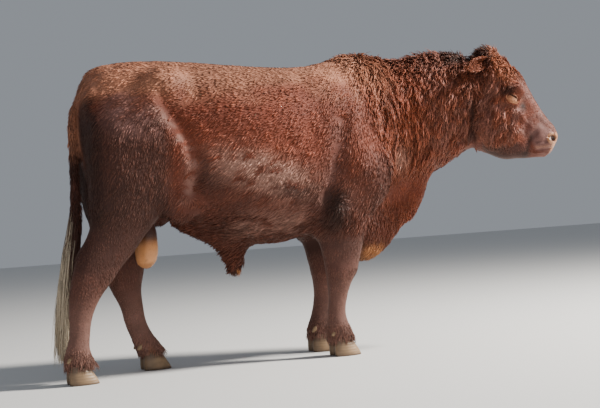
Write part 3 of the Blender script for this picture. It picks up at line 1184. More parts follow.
def coat_piece(name, root, normal, tint, rings, nodes, material, rng, colours, values=None, way=None,
               uv_at=None, tip_amount=0.3):
    """One piece of the coat: its locks, their tint from root to tip, and the OFBake patches."""
    if values is None:
        values, root, tint = clumped(root, normal, tint)
    way = lie(root, normal) if way is None else way
    n = len(root)
    size = 0.75 + 0.5 * rng.random(n)
    width = values[:, 1] * (0.75 + 0.5 * rng.random(n))
    lift = values[:, 2] * (0.6 + 0.8 * rng.random(n))
    points, faces, place = locks(root, normal, way, values[:, 0] * size, width, lift, values[:, 3],
                                 rings, rng)
    per = points.shape[1]
    shade = 0.86 + 0.28 * rng.random((n, 1, 1))
    # A flat lock is as bright as the skin under it, and a loose one is darker at its root.
    loose = rise(values[:, 2], 0.08, 0.22)[:, None]
    light = (0.80 - 0.14 * loose) + (0.14 + 0.30 * loose) * place[None]
    body = tint[:, None] * shade * light[..., None]
    bleached = tip_amount * np.clip(tint.max(1) / 0.22, 0, 1)
    lit = body + (colours["tip"] - body) * bleached[:, None, None] * (place ** 2)[None, :, None]
    at = unwrap(root) if uv_at is None else uv_at
    corner = np.tile([(-0.5, 0.0), (0.5, 0.0), (0.0, 0.0)], (rings, 1))
    corner = np.concatenate([corner, [(0.0, 0.0)]])
    patch = 0.003 * np.stack([corner[:, 0] * (1 - 0.8 * place), place - 0.5], -1)
    uv = at[:, None] + patch[None]
    across = np.concatenate([np.tile([0.0, 1.0, 0.5], rings), [0.5]])
    # Each lock has strands of its own. The draw's other half keeps the order of the draws.
    own = np.floor(40 * rng.random((2, n, 1))[0])
    strands = np.stack(np.broadcast_arrays(across[None] + own, place[None]), -1)
    points = points.reshape(-1, 3)
    triangles = (faces[None] + (np.arange(n) * per)[:, None, None]).reshape(-1, 3)
    item = mesh_object(name, bend(points), [], triangles, lit.reshape(-1, 3), uv.reshape(-1, 2),
                       strands.reshape(-1, 2))
    item.data.materials.append(material)
    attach(item, "root")
    if nodes:
        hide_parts(*nodes)
    return item


def colour_setting(name, text, seen):
    """A colour setting from its sRGB hex and what the eye sees."""
    return FloatVectorProperty(name=name, subtype="COLOR", default=tuple(srgb(text)),
                               description=seen)


class BullSettings(bpy.types.PropertyGroup):
    """Sizes and colours of the bull. Colours are linear."""

    body_cell: FloatProperty(name="Body cell", default=0.0124, subtype="DISTANCE",
                             description="Grid size of the skin over the body")
    head_cell: FloatProperty(name="Head cell", default=0.0038, subtype="DISTANCE",
                             description="Grid size of the skin over the head")
    density: FloatProperty(name="Coat density", default=1.0, description="How many locks the coat has")
    seed: IntProperty(name="Seed", default=SEED, description="Start of the random numbers")
    coat: colour_setting("Mid coat", "#7c3822", "Deep mahogany red")
    back: colour_setting("Upper back", "#b0755a", "Paler, sun-worn red along the back")
    low: colour_setting("Lower sides", "#653426", "Darker, greyer red below")
    leg: colour_setting("Legs", "#643e34", "Dark red-brown of the legs")
    pale: colour_setting("Pale hair", "#9c7765", "Paler hair at swirls and the front of the thigh")
    dark: colour_setting("Dark hair", "#3a1b13", "Almost black red in the folds and on the crest")
    hide: colour_setting("Bare hide", "#e09a60", "Orange-tan bare hide")
    muzzle: colour_setting("Muzzle", "#7d5750", "Mauve-brown skin of the muzzle's sides")
    lip: colour_setting("Nose and lips", "#b07a56", "Peach-tan bare skin of the nose and lips")
    brow: colour_setting("Forehead", "#97502f", "Orange-red curls of the forehead")
    lid: colour_setting("Eyelids", "#c88c66", "Pale peach lower lid")
    switch: colour_setting("Tail switch", "#d2c0a4", "Cream hair of the switch")
    tip: colour_setting("Lock tips", "#b06a3c", "Bleached orange tips of the locks")
    horn: colour_setting("Horn", "#8b7052", "Cream-tan horn of the claws")
    sole: colour_setting("Horn edge", "#4c392b", "Dark worn edge of the claws")


class BULL_OT_flesh(bpy.types.Operator):
    """Build the skin of the trunk, legs, neck and head as one closed surface"""

    bl_idname = "bull.flesh"
    bl_label = "Skin"

    def execute(self, context):
        settings = context.scene.bull
        colours = colours_of(settings)
        points, quads, triangles, normals = flesh_surface(settings.body_cell, settings.head_cell)
        if len(quads) < 1000:
            raise RuntimeError("the skin's surface is empty")
        tint = paint(points, normals, colours)
        WORK.update(points=points, normals=normals, colours=colours,
                    triangles=np.concatenate([halves(quads), triangles]))
        zone = zones(points)
        bare = np.maximum(zone["pad"], zone["bag"]) > 0.5
        shown = np.where(bare[:, None], tint, tint * UNDER_COAT)
        skin = mesh_object("skin", bend(points), quads, triangles, shown)
        # Hide seen between the locks.
        skin.data.materials.append(coat_material("short_hair_over_hide", 0.7, bump=0.6, sheen=0.1))
        # Damp, pebbled bare skin of the nose, lips and bag.
        skin.data.materials.append(bare_material())
        index = np.concatenate([bare[quads].all(1), bare[triangles].all(1)]).astype(np.int32)
        skin.data.polygons.foreach_set("material_index", index)
        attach(skin, "root")
        legs = [f"foreleg_{s}_{part}" for s in ("right", "left") for part in ("forearm", "foot")]
        legs += [f"hindleg_{s}_{part}" for s in ("right", "left") for part in ("thigh", "hock", "foot")]
        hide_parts("head", "lower_jaw", "neck", "rump", "barrel", "chest", "sheath", "scrotum",
                    "tail", *legs)
        return {"FINISHED"}


def bare_material():
    """Bare skin coloured by its points' tint, with small round pebbles."""
    material, shader, _, place = tinted_material("bare_damp_skin", 0.42)
    # Pebbles 3 mm across.
    pebbles = node(material, "ShaderNodeTexVoronoi", {"Scale": 330.0}, {"Vector": place.outputs["Object"]})
    add_bumps(material, shader, pebbles.outputs["Distance"], 0.5, 0.0012)
    return material


def coat_shares(zone):
    """How far each root belongs to each group of the coat. The trunk has what the rest leave."""
    legs = np.clip(zone["fore"] + zone["hind"], 0, 1) * (1 - zone["head"])
    neck = zone["neck"] * (1 - np.clip(zone["fore"], 0, 1))
    curls = zone["head"] * np.maximum.reduce([zone["cheek"], zone["brow"], zone["nape"]])
    trunk = 1 - np.maximum.reduce([legs, neck, zone["head"]])
    return {"coat_trunk": trunk, "coat_legs": legs, "coat_neck": neck, "coat_curls": curls,
            "coat_face": zone["head"]}


COAT_GROUPS = (
    # name, slot, rings of a lock, bleach of its tip, most locks in a piece
    ("coat_trunk", "body_coat", 2, 0.12, 18000),
    ("coat_legs", "body_coat", 2, 0.12, 18000),
    ("coat_neck", "body_coat", 4, 0.30, 8500),
    ("coat_curls", "face_coat", 4, 0.30, 8500),
    ("coat_face", "face_coat", 2, 0.12, 18000),
)


class BULL_OT_coat(bpy.types.Operator):
    """Grow the coat's locks over the skin"""

    bl_idname = "bull.coat"
    bl_label = "Coat"

    def execute(self, context):
        settings = context.scene.bull
        if "points" not in WORK:
            raise RuntimeError("build the skin first")
        rng = np.random.default_rng(settings.seed)
        colours = WORK["colours"]
        # Soft dry hair with a little sheen.
        material = coat_material("red_hair_locks", 0.52, sheen=0.10, strands=True)
        points, triangles, normals = WORK["points"], WORK["triangles"], WORK["normals"]
        middle = points[triangles].mean(1)
        thick = growth(middle)[:, 4] * 1000 * settings.density
        root, normal = scatter(points, triangles, normals, thick, rng)
        shares = coat_shares(zones(root))
        taken = np.zeros(len(root), bool)
        for name, slot, rings, bleach, most in COAT_GROUPS:
            # A root goes to the first group that has half of it.
            chosen = (shares[name] >= 0.5) & ~taken
            taken |= chosen
            which = np.flatnonzero(chosen)
            order = which[np.argsort(root[which, 0], kind="stable")]
            parts = max(1, math.ceil(len(order) / most))
            for k, some in enumerate(np.array_split(order, parts)):
                tint = paint(root[some], normal[some], colours)
                coat_piece(f"{name}_{k + 1}", root[some], normal[some], tint, rings, (), material, rng,
                           colours, tip_amount=bleach)
        return {"FINISHED"}


class BULL_OT_eyes(bpy.types.Operator):
    """Build the eyeballs and the lids round them"""

    bl_idname = "bull.eyes"
    bl_label = "Eyes"

    def execute(self, context):
        colours = WORK["colours"]
        # Wet dark brown eye.
        wet = coat_material("wet_eye", 0.08, sheen=0.0)
        # Bare, creased skin of the lids.
        bare = coat_material("eyelid_skin", 0.5, bump=0.3, sheen=0.1)
        rng = np.random.default_rng(context.scene.bull.seed + 3)
        balls, lids, hairs, tints = [], [], [], []
        for side in (-1, 1):
            a, b, n = eye_axes(side)
            centre = EYE_CENTRE * (1, side, 1)
            balls.append(eyeball(centre, n))
            points, quads, none, tint, shade, upper = eyelids(centre, a, b, n, colours)
            lids.append((points, quads, none, tint))
            *hair, lashes, pale = lid_hair(centre, n, points, quads, shade, upper, rng)
            shown = mix(paint(hair[0], hair[1], colours), colours["lid"], pale)
            shown[lashes:] = LASH
            hairs.append(hair)
            tints.append(shown)
        for name, parts, material, slot, nodes in (
                ("eyeballs", balls, wet, "eye", ("eye_right", "eye_left")),
                ("eyelids", lids, bare, "face_coat", ())):
            points, quads, triangles, tint = joined(parts)
            item = mesh_object(name, bend(points), quads, triangles, tint)
            item.data.materials.append(material)
            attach(item, "root")
            if nodes:
                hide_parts(*nodes)
        root, normal, way, values = (np.concatenate([hair[k] for hair in hairs]) for k in range(4))
        # Short soft hair and dark lashes.
        hair_material = coat_material("lid_hair_locks", 0.5, sheen=0.2)
        coat_piece("coat_lids", root, normal, np.concatenate(tints), 3, (), hair_material, rng,
                   colours, values, way, tip_amount=0.0)
        return {"FINISHED"}


# The eye's dark white, iris, iris's middle and pupil, and the lid's edge and lashes.
EYE_WHITE, IRIS, IRIS_MIDDLE, PUPIL, LID_EDGE, LASH = (srgb(text) for text in (
    "#5a4034", "#2a150b", "#5b3216", "#050404", "#2b1813", "#1c100c"))


def eyeball(centre, n):
    """A ball about the outward axis. The iris reaches 34 degrees from it, and the pupil is a
    level oval, wider than it is high."""
    turn = circle(48)
    polar = np.linspace(0.03, math.pi - 0.03, 34)[::-1]
    level = unit(np.cross(n, UP))
    up = np.cross(n, level)
    away = np.sin(polar)[:, None]
    out = np.cos(polar)[:, None] + 0 * turn
    radius = EYE_RADIUS * (1 + 0.03 * np.exp(-(polar / 0.6) ** 2))[:, None]
    u, v = away * np.cos(turn), away * np.sin(turn)
    rings = centre + radius[..., None] * (u[..., None] * level + v[..., None] * up
                                          + out[..., None] * n)
    points, quads, ends = closed_rings(rings)
    q = (points - centre) / EYE_RADIUS
    reach = np.arccos(np.clip(q @ n / np.linalg.norm(q, axis=1), -1, 1))
    tint = np.tile(EYE_WHITE, (len(points), 1))
    tint = mix(tint, IRIS, rise(reach, 0.66, 0.56))
    tint = mix(tint, IRIS_MIDDLE, 0.6 * rise(reach, 0.50, 0.36))
    pupil = np.hypot((q @ level) / 0.34, (q @ up) / 0.17)
    tint = mix(tint, PUPIL, rise(pupil, 1.15, 0.9) * (q @ n > 0))
    return points, quads, ends, tint


def skin_height(place, centre, a, b, n, spread=0.004):
    """The skin's height over the eye's plane at places in it: the mean of the heights of nearby
    points of the skin, weighted by exp(-(d/spread)^2)."""
    q = WORK["points"] - centre
    near = (np.linalg.norm(q, axis=1) < 0.075) & (q @ n > -0.02)
    q = q[near]
    flat = np.stack([q @ a, q @ b], -1)
    d = ((place.reshape(-1, 1, 2) - flat[None]) ** 2).sum(-1)
    weight = np.exp(-d / spread ** 2) + 1e-9 * np.exp(-d / 0.02 ** 2) + 1e-30
    return ((weight * (q @ n)).sum(1) / weight.sum(1)).reshape(place.shape[:-1])


def eyelids(centre, a, b, n, colours):
    """A closed band round the eye. Its upper side runs from under the skin, over the ball, to
    the edge of the slit, and its lower side comes back inside the ball and the skin. Gives the
    points, quads, no triangles, the tint, and each point's place from rim to slit and height."""
    turn = circle(96)
    c, s = np.cos(turn), np.sin(turn)
    up = s > 0
    slit = np.stack([0.0215 * c, np.where(up, 0.0052, 0.0050) * s * np.abs(s) ** 0.25 + 0.0035], -1)
    outer = np.stack([0.040 * c, 0.031 * s], -1)
    rows = np.linspace(0, 1, 26)
    reach = EYE_RADIUS + 0.0022
    place = outer[None] + (slit - outer)[None] * (rows ** 0.8)[:, None, None]
    skin = skin_height(place, centre, a, b, n)
    away = np.linalg.norm(place, axis=-1)
    ball = np.sqrt(np.maximum(reach ** 2 - away ** 2, 0)) - 0.004 * rise(away, 0.018, 0.024)
    k = 0.007
    gap = np.maximum(k - np.abs(skin - ball), 0) / k
    height = np.maximum(skin, ball) + gap * gap * k / 4
    fold = (0.0016 * np.sin(rows * 21 + 0.6) * rise(rows, 0.15, 0.4) * rise(rows, 0.98, 0.85))[:, None]
    height = height + fold * np.where(up, 1.0, 0.85)[None]
    height[0] -= 0.005
    height[1] -= 0.0015
    height[2] -= 0.0002

    def over(flat, heights):
        """Points over the eye's plane, from their places in it and their heights."""
        return centre + flat[..., 0:1] * a + flat[..., 1:2] * b + heights[..., None] * n

    top = over(place, height)
    edge = over(place[-1:] * (0.97, 0.92), height[-1:] - 0.0028)
    below = over(place[::-3][1:-1], height[::-3][1:-1] - 0.0075)
    rings = np.concatenate([top, edge, below])
    quads = torus_faces(*rings.shape[:2])
    if np.dot(np.cross(a, b), n) < 0:
        quads = quads[:, ::-1]
    points = rings.reshape(-1, 3)
    count = len(top)
    shade = np.zeros((len(rings), len(turn)))
    shade[:count] = rows[:, None]
    shade[count:] = 1
    lower = rise(-s, -0.25, 0.30)[None] * rise(shade, 0.12, 0.30)
    tint = mix(np.tile(colours["coat"] * 0.75, (len(points), 1)), colours["lid"], 0.85 * lower.ravel())
    tint = mix(tint, colours["lid"] * 0.6, 0.5 * ((1 - lower) * rise(shade, 0.55, 0.8)).ravel())
    margin = rise(shade, 0.93, 0.985).ravel()
    tint = mix(tint, LID_EDGE, margin)
    corner = rise(c, 0.80, 0.98)[None] * rise(shade, 0.5, 0.9)
    tint = mix(tint, LID_EDGE, 0.8 * corner.ravel())
    return points, quads, [], tint, shade.ravel(), np.tile(s, len(rings))


def lid_hair(centre, n, points, quads, shade, upper, rng):
    """Short hairs on a lid, away from the slit, and upper lashes, outwards and down. Gives the
    roots, normals, ways and growth, where the lashes start, and how pale each hair is."""
    normals = point_normals(points, quads, [])
    faces = halves(quads)
    place, above = shade[faces].mean(1), upper[faces].mean(1)
    top = rise(place, 0.999, 0.90)
    thick = LID_HAIRS * rise(place, 0.02, 0.08) * rise(place, 0.86, 0.70) * top
    root, normal = scatter(points, faces, normals, thick, rng)
    away = root - centre
    away = unit(away - n * (away @ n)[:, None])
    way = unit(square_to(away, normal))
    hair = np.tile([0.009, 0.0013, 0.20, 0.05, 1.0], (len(root), 1))
    # The hair is pale under the eye, as the lid is.
    local = root - centre
    below = -(local @ np.array([0.56, 0.0, 0.80]))
    from_axis = np.linalg.norm(local - n * (local @ n)[:, None], axis=1)
    pale = rise(below, -0.004, 0.006) * rise(from_axis, 0.030, 0.022)
    edge = (place > 0.93) & (place < 0.99) & (above > 0)
    lash_root, lash_normal = scatter(points, faces, normals, LASHES * edge, rng)
    out = unit(lash_normal + 0.9 * n)
    away = lash_root - centre
    lash_way = unit(0.5 * unit(away - n * (away @ n)[:, None]) + n - 0.5 * UP)
    lash_normal = unit(square_to(out, lash_way))
    lash = np.tile([0.015, 0.0007, 0.10, 0.02, 1.0], (len(lash_root), 1))
    return (np.concatenate([root, lash_root]), np.concatenate([normal, lash_normal]),
            np.concatenate([way, lash_way]), np.concatenate([hair, lash]), len(root),
            np.concatenate([pale, np.zeros(len(lash_root))]))


class BULL_OT_ears(bpy.types.Operator):
    """Build the ears and the hair along their edges and inside them"""

    bl_idname = "bull.ears"
    bl_label = "Ears"

    def execute(self, context):
        settings = context.scene.bull
        rng = np.random.default_rng(settings.seed + 1)
        colours = WORK["colours"]
        # Soft dry hair.
        hair = coat_material("ear_hair_locks", 0.52, sheen=0.10, strands=True)
        parts, grown = [], []
        for side in (-1, 1):
            parts.append(ear(side, colours))
            grown.append(ear_hair(side, parts[-1], EAR_LOCKS * settings.density, rng))
        points, quads, triangles, tint = joined(parts)
        item = mesh_object("ears", bend(points), quads, triangles, tint)
        item.data.materials.append(coat_material("ear_skin", 0.6, bump=0.4))
        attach(item, "root")
        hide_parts("ear_right", "ear_left")
        root, normal, way, inside, at = (np.concatenate(arrays) for arrays in zip(*grown))
        values = np.tile([0.020, 0.0024, 0.22, 0.06, 1.0], (len(root), 1))
        values[inside] = [0.034, 0.0026, 0.45, 0.10, 1.0]
        tint = mix(np.tile(colours["brow"], (len(root), 1)), colours["coat"] * 0.8, 0.8 * inside)
        coat_piece("coat_ears", root, normal, tint, 3, (), hair, rng, colours, values, way, at)
        return {"FINISHED"}


def ear(side, colours):
    """One ear's skin, orange-red outside and dark in the cup."""
    rings, fronts = ear_rings(side)
    points, quads, ends = closed_rings(rings)
    # The left ear's rings turn the other way round.
    if side > 0:
        quads, ends = quads[:, ::-1], ends[:, ::-1]
    tint = np.tile(colours["brow"] * 0.8, (len(points), 1))
    front = np.concatenate([np.tile(fronts, len(rings)), [0.0, 0.0]])
    return points, quads, ends, mix(tint, colours["dark"] * 0.9, 0.75 * front)


def ear_hair(side, part, density, rng):
    """Roots of an ear's hair, their normals, their ways to the tip, which ones are in the cup,
    and their places in the OFBake map: the length along the ear and the angle round it."""
    tip, wide, face = ear_axes(side)
    points, quads, ends, _ = part
    faces = np.concatenate([halves(quads), ends])
    normals = point_normals(points, quads, ends)
    root, normal = scatter(points, faces, normals, np.full(len(faces), density), rng)
    way = tip + 0.3 * (rng.random((len(root), 3)) - 0.5)
    way = unit(square_to(way, normal))
    offset = root - EAR_BASE * (1, side, 1)
    s = offset @ tip / EAR_LENGTH
    around = np.arctan2(offset @ face, offset @ wide) / WHOLE_TURN + 0.5
    at = np.stack([0.705 + 0.08 * s, 0.5 * (side > 0) + 0.02 + 0.45 * around], -1)
    keep = (s > 0.02) & (s < 0.97)
    return root[keep], normal[keep], way[keep], (normal[keep] @ face) > 0.1, at[keep]


def ear_axes(side):
    """The ear's way to the tip, its upward width and the way its cup faces: the X, Z and -Y axes
    turned by the roll about X, the droop about Y and the sweep about Z."""
    cr, sr = math.cos(EAR_ROLL), math.sin(EAR_ROLL)
    cd, sd = math.cos(EAR_DROOP), math.sin(EAR_DROOP)
    cs, ss = math.cos(EAR_SWEEP), math.sin(EAR_SWEEP)
    sweep = np.array([[cs, -ss, 0], [ss, cs, 0], [0, 0, 1]])
    droop = np.array([[cd, 0, sd], [0, 1, 0], [-sd, 0, cd]])
    roll = np.array([[1, 0, 0], [0, cr, -sr], [0, sr, cr]])
    turn = sweep @ droop @ roll
    return tuple(turn @ np.array(way) * (1, side, 1) for way in ((1, 0, 0), (0, 0, 1), (0, -1, 0)))


def ear_rings(side):
    """Closed sections of a cupped leaf, and how far each of their points is in the cup. The leaf
    comes forward by depth (t^2 - 0.75), t from -1 to 1 across it, and is at most 9 mm thick."""
    tip, wide, face = ear_axes(side)
    s = np.linspace(0, 1, 40)
    half = np.interp(s, [0, 0.12, 0.3, 0.5, 0.7, 0.85, 0.94, 1], [22, 26, 34, 38, 34, 24, 14, 4]) * MM
    depth = np.interp(s, [0, 0.3, 0.6, 1], [30, 27, 19, 5]) * MM
    t = np.sin(np.linspace(-1, 1, 22) * math.pi / 2)
    thick = np.interp(s, [0, 0.4, 1], [4.5, 2.6, 1.5])[:, None] * MM
    thick = thick * (0.35 + 0.65 * np.sqrt(1 - t * t))[None]
    curl = 1 - 0.18 * (1 - s)[:, None] * t[None] ** 2
    across = half[:, None] * t[None] * curl
    forward = depth[:, None] * (t[None] ** 2 - 0.75)
    along = EAR_LENGTH * s[:, None] - 0.022 + 0 * t[None]
    base = EAR_BASE * (1, side, 1)
    droop = -0.008 * s[:, None] ** 2 + 0 * t[None]

    def leaf(offset):
        """The leaf's points, moved out along the way that the cup faces."""
        flat = base + along[..., None] * tip + across[..., None] * wide
        return flat + (forward + offset)[..., None] * face + droop[..., None] * UP

    rings = np.concatenate([leaf(thick), leaf(-thick)[:, ::-1]], 1)
    fronts = np.concatenate([np.ones(len(t)) * rise(1 - np.abs(t), 0.05, 0.3), np.zeros(len(t))])
    return rings, fronts


class BULL_OT_hooves(bpy.types.Operator):
    """Build the claws and dewclaws"""

    bl_idname = "bull.hooves"
    bl_label = "Claws"

    def execute(self, context):
        colours = WORK["colours"]
        parts, nodes = [], []
        for foot, (x, y, heel) in FEET.items():
            for place in (-1, 1):
                parts.append(claw(x, y, place, colours))
                parts.append(dewclaw(heel + 0.014, y + place * 0.036, colours))
                which = "outer" if place * y > 0 else "inner"
                nodes += [f"claw_{foot}_{which}", f"dewclaw_{foot}_{which}"]
        points, quads, triangles, tint = joined(parts)
        item = mesh_object("claws", points - BOX_MIDDLE, quads, triangles, tint)
        item.data.materials.append(horn_material())
        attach(item, "root")
        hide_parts(*nodes)
        return {"FINISHED"}


def horn_material():
    """Dry horn with growth rings across it."""
    material, shader, _, place = tinted_material("dry_hoof_horn", 0.5)
    # Growth rings 12 mm apart.
    rings = node(material, "ShaderNodeTexWave", {"Scale": 26.0, "Distortion": 1.5, "Detail": 2.0},
                 {"Vector": place.outputs["Object"]}, bands_direction="Z")
    add_bumps(material, shader, rings.outputs["Fac"], 0.35, 0.0015)
    return material


def claw(x, y, place, colours):
    """One claw: sections from the sole to the coronet, each a circle squared off by the power 0.8
    of its cosine and sine, and narrower to the toe."""
    rows = np.array([
        # height, toe, heel, half width
        [0, 68, -58, 28],
        [4, 67, -60, 28.5],
        [22, 59, -61, 28.5],
        [48, 43, -60, 26],
        [84, 20, -52, 20],
    ])
    z = np.concatenate([[0.0, 0.0008, 0.003], np.linspace(0.007, 0.084, 16)])
    toe, heel, half = (np.interp(z, rows[:, 0] * MM, rows[:, c] * MM) for c in (1, 2, 3))
    inset = np.concatenate([[0.004, 0.0015, 0.0004], np.zeros(16)])
    toe, heel, half = toe - inset, heel + inset, half - inset
    turn = circle(44)
    along = np.sign(np.cos(turn)) * np.abs(np.cos(turn)) ** 0.8
    across = np.sign(np.sin(turn)) * np.abs(np.sin(turn)) ** 0.8
    narrow = 1 - 0.28 * np.maximum(along, 0) ** 2
    px = x + ((toe + heel) / 2)[:, None] + ((toe - heel) / 2)[:, None] * along
    middle = y + place * (CLAW_SPREAD - 0.005 * np.maximum(along, 0))
    py = middle[None] + half[:, None] * (across * narrow)[None]
    rings = np.stack([px, py, z[:, None] + 0 * px], -1)
    points, quads, ends = closed_rings(rings)
    tint = np.tile(colours["horn"], (len(points), 1))
    tint = mix(tint, colours["sole"], 0.7 * rise(points[:, 2], 0.016, 0.004))
    tint = mix(tint, colours["sole"], 0.75 * rise(points[:, 2], 0.040, 0.064))
    tint = mix(tint, colours["sole"], 0.45 * rise(points[:, 0] - x, 0.01, -0.05))
    tint = tint * (0.85 + 0.3 * cloud(points, 0.012, 4))[:, None]
    return points, quads, ends, tint


def dewclaw(x, y, colours):
    """A small blunt dome of horn that points backwards."""
    s = np.linspace(0, 1, 10)
    turn = circle(24)
    radius = np.sqrt(1 - (0.98 * s) ** 2)
    px = x + 0.008 - 0.021 * s[:, None] + 0 * turn
    py = y + 0.0110 * radius[:, None] * np.cos(turn)
    pz = DEWCLAW_Z - 0.012 * s[:, None] + 0.014 * radius[:, None] * np.sin(turn)
    rings = np.stack([px, py, pz], -1)[:, ::-1]
    points, quads, ends = closed_rings(rings)
    tint = np.tile(colours["horn"] * 0.9, (len(points), 1))
    return points, quads, ends, tint


class BULL_OT_switch(bpy.types.Operator):
    """Build the tail's switch and the tuft of the sheath"""

    bl_idname = "bull.switch"
    bl_label = "Tail switch"

    def execute(self, context):
        rng = np.random.default_rng(context.scene.bull.seed + 2)
        colours = WORK["colours"]
        # Coarse, slightly glossy cream hair.
        material = coat_material("cream_switch_hair", 0.5, sheen=0.2, strands=True)
        root, normal, tint, values, way, at = switch_roots(SWITCH_LOCKS, colours, rng)
        coat_piece("coat_switch", root, normal, tint, 6, ("tail_switch",), material, rng,
                   colours, values, way, at, tip_amount=0.0)
        root, normal, tint, values, way, at = tuft_roots(TUFT_LOCKS, colours, rng)
        coat_piece("coat_sheath_tuft", root, normal, tint, 5, (), material, rng, colours,
                   values, way, at)
        return {"FINISHED"}


def switch_roots(n, colours, rng):
    """Roots inside the switch and the tail's end, of locks that hang down and lean with the tail.
    They are brown above and on the fore side, and cream below."""
    top = 0.76 - 0.56 * rng.random(n) ** 0.75
    rows = SWITCH + TAIL[1:3]
    stops = np.array([row[0] for row in rows]) * MM
    back, front, half, mid = (np.interp(top, stops, np.array([row[c] for row in rows]) * MM)
                              for c in (1, 2, 3, 4))
    back, front = np.minimum(back, front), np.maximum(back, front)
    turn = rng.random(n) * WHOLE_TURN
    share = np.sqrt(rng.random(n)) * 0.95
    fore_side = share * np.cos(turn)
    root = np.stack([(back + front) / 2 + (front - back) / 2 * share * np.cos(turn),
                     mid + half * share * np.sin(turn), top], -1)
    normal = unit(np.stack([np.cos(turn), np.sin(turn), 0.1 + 0 * turn], -1))
    lean = np.interp(top, [0.1, 0.3, 0.6], [0.04, 0.0, -0.20])
    way = np.stack([lean + 0.05 * (rng.random(n) - 0.5), -0.03 + 0.06 * (rng.random(n) - 0.5),
                    -np.ones(n)], -1)
    way = unit(way - 0.15 * normal * (way * normal).sum(1)[:, None])
    normal = unit(square_to(normal, way))
    length = np.minimum(0.10 + 0.30 * rng.random(n), (top - 0.085) / 1.15)
    values = np.stack([length, *(np.full(n, value) for value in (0.0036, 0.05, 0.020, 1.0))], -1)
    ragged = 0.10 * (rng.random(n) - 0.5)
    brown = (rise(top + 0.16 * fore_side + ragged, 0.56, 0.66)
             + 0.9 * rise(fore_side, 0.1, 0.5) * rise(top, 0.32, 0.40))
    tint = mix(np.tile(colours["switch"], (n, 1)), colours["dark"] * 1.2, np.clip(brown, 0, 1))
    at = np.stack([0.03 + 0.9 * turn / WHOLE_TURN, 0.05 + 1.3 * top], -1)
    return root, normal, tint, values, way, at


def tuft_roots(n, colours, rng):
    """Roots in the sheath's end, of a short tuft that hangs down, orange in front."""
    turn = rng.random(n) * WHOLE_TURN
    share = np.sqrt(rng.random(n))
    root = np.stack([0.045 + 0.026 * share * np.cos(turn), 0.020 * share * np.sin(turn),
                     0.440 + 0.03 * rng.random(n)], -1)
    normal = np.stack([np.cos(turn), np.sin(turn), 0 * turn], -1)
    way = unit(np.stack([-0.05 + 0.2 * (rng.random(n) - 0.5), 0.2 * (rng.random(n) - 0.5),
                         -np.ones(n)], -1))
    values = np.tile([0.045, 0.0034, 0.12, 0.05, 1.0], (n, 1))
    tint = mix(np.tile(colours["dark"], (n, 1)), colours["hide"], 0.7 * (root[:, 0] > 0.050))
    at = np.stack([0.03 + 0.9 * turn / WHOLE_TURN, 0.1 + 25 * (root[:, 2] - 0.44)], -1)
    return root, normal, tint, values, way, at


LAMPS = (
    # name, place, size, power, colour
    ("key", (5.4, -2.2, 4.9), 1.2, 1850, (1.0, 0.95, 0.88)),
    ("fill", (-3.0, -6.0, 1.8), 4.0, 60, (0.95, 0.96, 1.0)),
)
LAMP_TARGET = (0.1, 0.0, 0.75)
CAMERA_PLACE = (-1.9937, -5.2260, 0.6)
CAMERA_YAW, CAMERA_PITCH, CAMERA_ROLL = (math.radians(turn) for turn in (20.696, 1.074, -4.0))
FLOOR_REACH = 30


class BULL_OT_stage(bpy.types.Operator):
    """Set the floor, the lights and the camera"""

    bl_idname = "bull.stage"
    bl_label = "Floor, lights and camera"

    def execute(self, context):
        scene = context.scene
        corners = FLOOR_REACH * np.array([(-1, -1, 0), (1, -1, 0), (1, 1, 0), (-1, 1, 0)], float)
        floor = mesh_object("floor", corners, [[0, 1, 2, 3]], [])
        # Matt pale grey floor.
        floor.data.materials.append(plain_material("pale_floor", (0.62, 0.62, 0.61), 0.9))
        world = bpy.data.worlds.new("soft_sky")
        scene.world = world
        world.use_nodes = True
        sky = world.node_tree.nodes["Background"].inputs
        sky["Color"].default_value = (0.80, 0.86, 0.95, 1)
        sky["Strength"].default_value = 0.34
        for name, place, size, power, colour in LAMPS:
            lamp = bpy.data.lights.new(name, "AREA")
            lamp.shape = "DISK"
            lamp.size, lamp.energy, lamp.color = size, power, colour
            item = bpy.data.objects.new(name, lamp)
            item.matrix_world = aimed(place, LAMP_TARGET)
            context.collection.objects.link(item)
        camera = bpy.data.cameras.new("camera")
        camera.lens, camera.sensor_width, camera.sensor_fit = 72.0, 36.0, "HORIZONTAL"
        camera.clip_start, camera.clip_end = 0.1, 100
        item = bpy.data.objects.new("camera", camera)
        item.matrix_world = camera_place()
        context.collection.objects.link(item)
        scene.camera = item
        return {"FINISHED"}


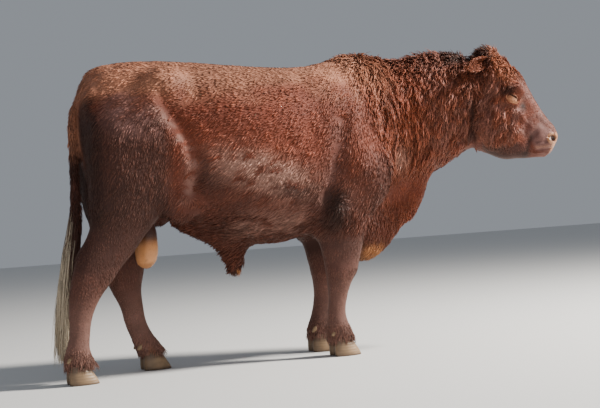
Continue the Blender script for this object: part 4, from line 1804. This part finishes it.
def placed(x, y, z, place):
    """A matrix from an object's three axes and its place."""
    turn = np.stack([x, y, z], -1).tolist()
    return Matrix([[*row, value] for row, value in zip(turn, place)] + [[0, 0, 0, 1]])


def aimed(place, target):
    """A lamp's matrix: its -Z axis from its place to the target."""
    z = unit(np.array(place, float) - np.array(target, float))
    x = unit(np.cross(UP, z))
    y = np.cross(z, x)
    return placed(x, y, z, place)


def camera_place():
    """The camera's matrix: 20.7 degrees round from the animal's side to its tail, 0.6 m above
    the floor, almost level and rolled by 4 degrees."""
    yaw, pitch, roll = CAMERA_YAW, CAMERA_PITCH, CAMERA_ROLL
    ahead = np.array([math.sin(yaw) * math.cos(pitch), math.cos(yaw) * math.cos(pitch), math.sin(pitch)])
    level = np.array([math.cos(yaw), -math.sin(yaw), 0.0])
    above = np.cross(level, ahead)
    right = level * math.cos(roll) + above * math.sin(roll)
    up = above * math.cos(roll) - level * math.sin(roll)
    return placed(right, up, -ahead, CAMERA_PLACE)


PIECES = (BULL_OT_flesh, BULL_OT_coat, BULL_OT_eyes, BULL_OT_ears, BULL_OT_hooves, BULL_OT_switch,
          BULL_OT_stage)


class BULL_PT_panel(bpy.types.Panel):
    """The bull's pieces and settings in the sidebar"""

    bl_label = "Bull"
    bl_space_type = "VIEW_3D"
    bl_region_type = "UI"
    bl_category = "Bull"

    def draw(self, context):
        for name in BullSettings.__annotations__:
            self.layout.prop(context.scene.bull, name)
        for piece in PIECES:
            self.layout.operator(piece.bl_idname)


CLASSES = (BullSettings, *PIECES, BULL_PT_panel)


def register():
    """Tells Blender of the classes and hangs the settings on the scene."""
    for item in CLASSES:
        bpy.utils.register_class(item)
    bpy.types.Scene.bull = PointerProperty(type=BullSettings)


def unregister():
    """Takes the settings and the classes off again."""
    del bpy.types.Scene.bull
    for item in reversed(CLASSES):
        bpy.utils.unregister_class(item)


def main():
    """Builds every piece in order."""
    register()
    bpy.ops.bull.flesh()
    bpy.ops.bull.coat()
    bpy.ops.bull.eyes()
    bpy.ops.bull.ears()
    bpy.ops.bull.hooves()
    bpy.ops.bull.switch()
    bpy.ops.bull.stage()


if __name__ == "__main__":
    main()
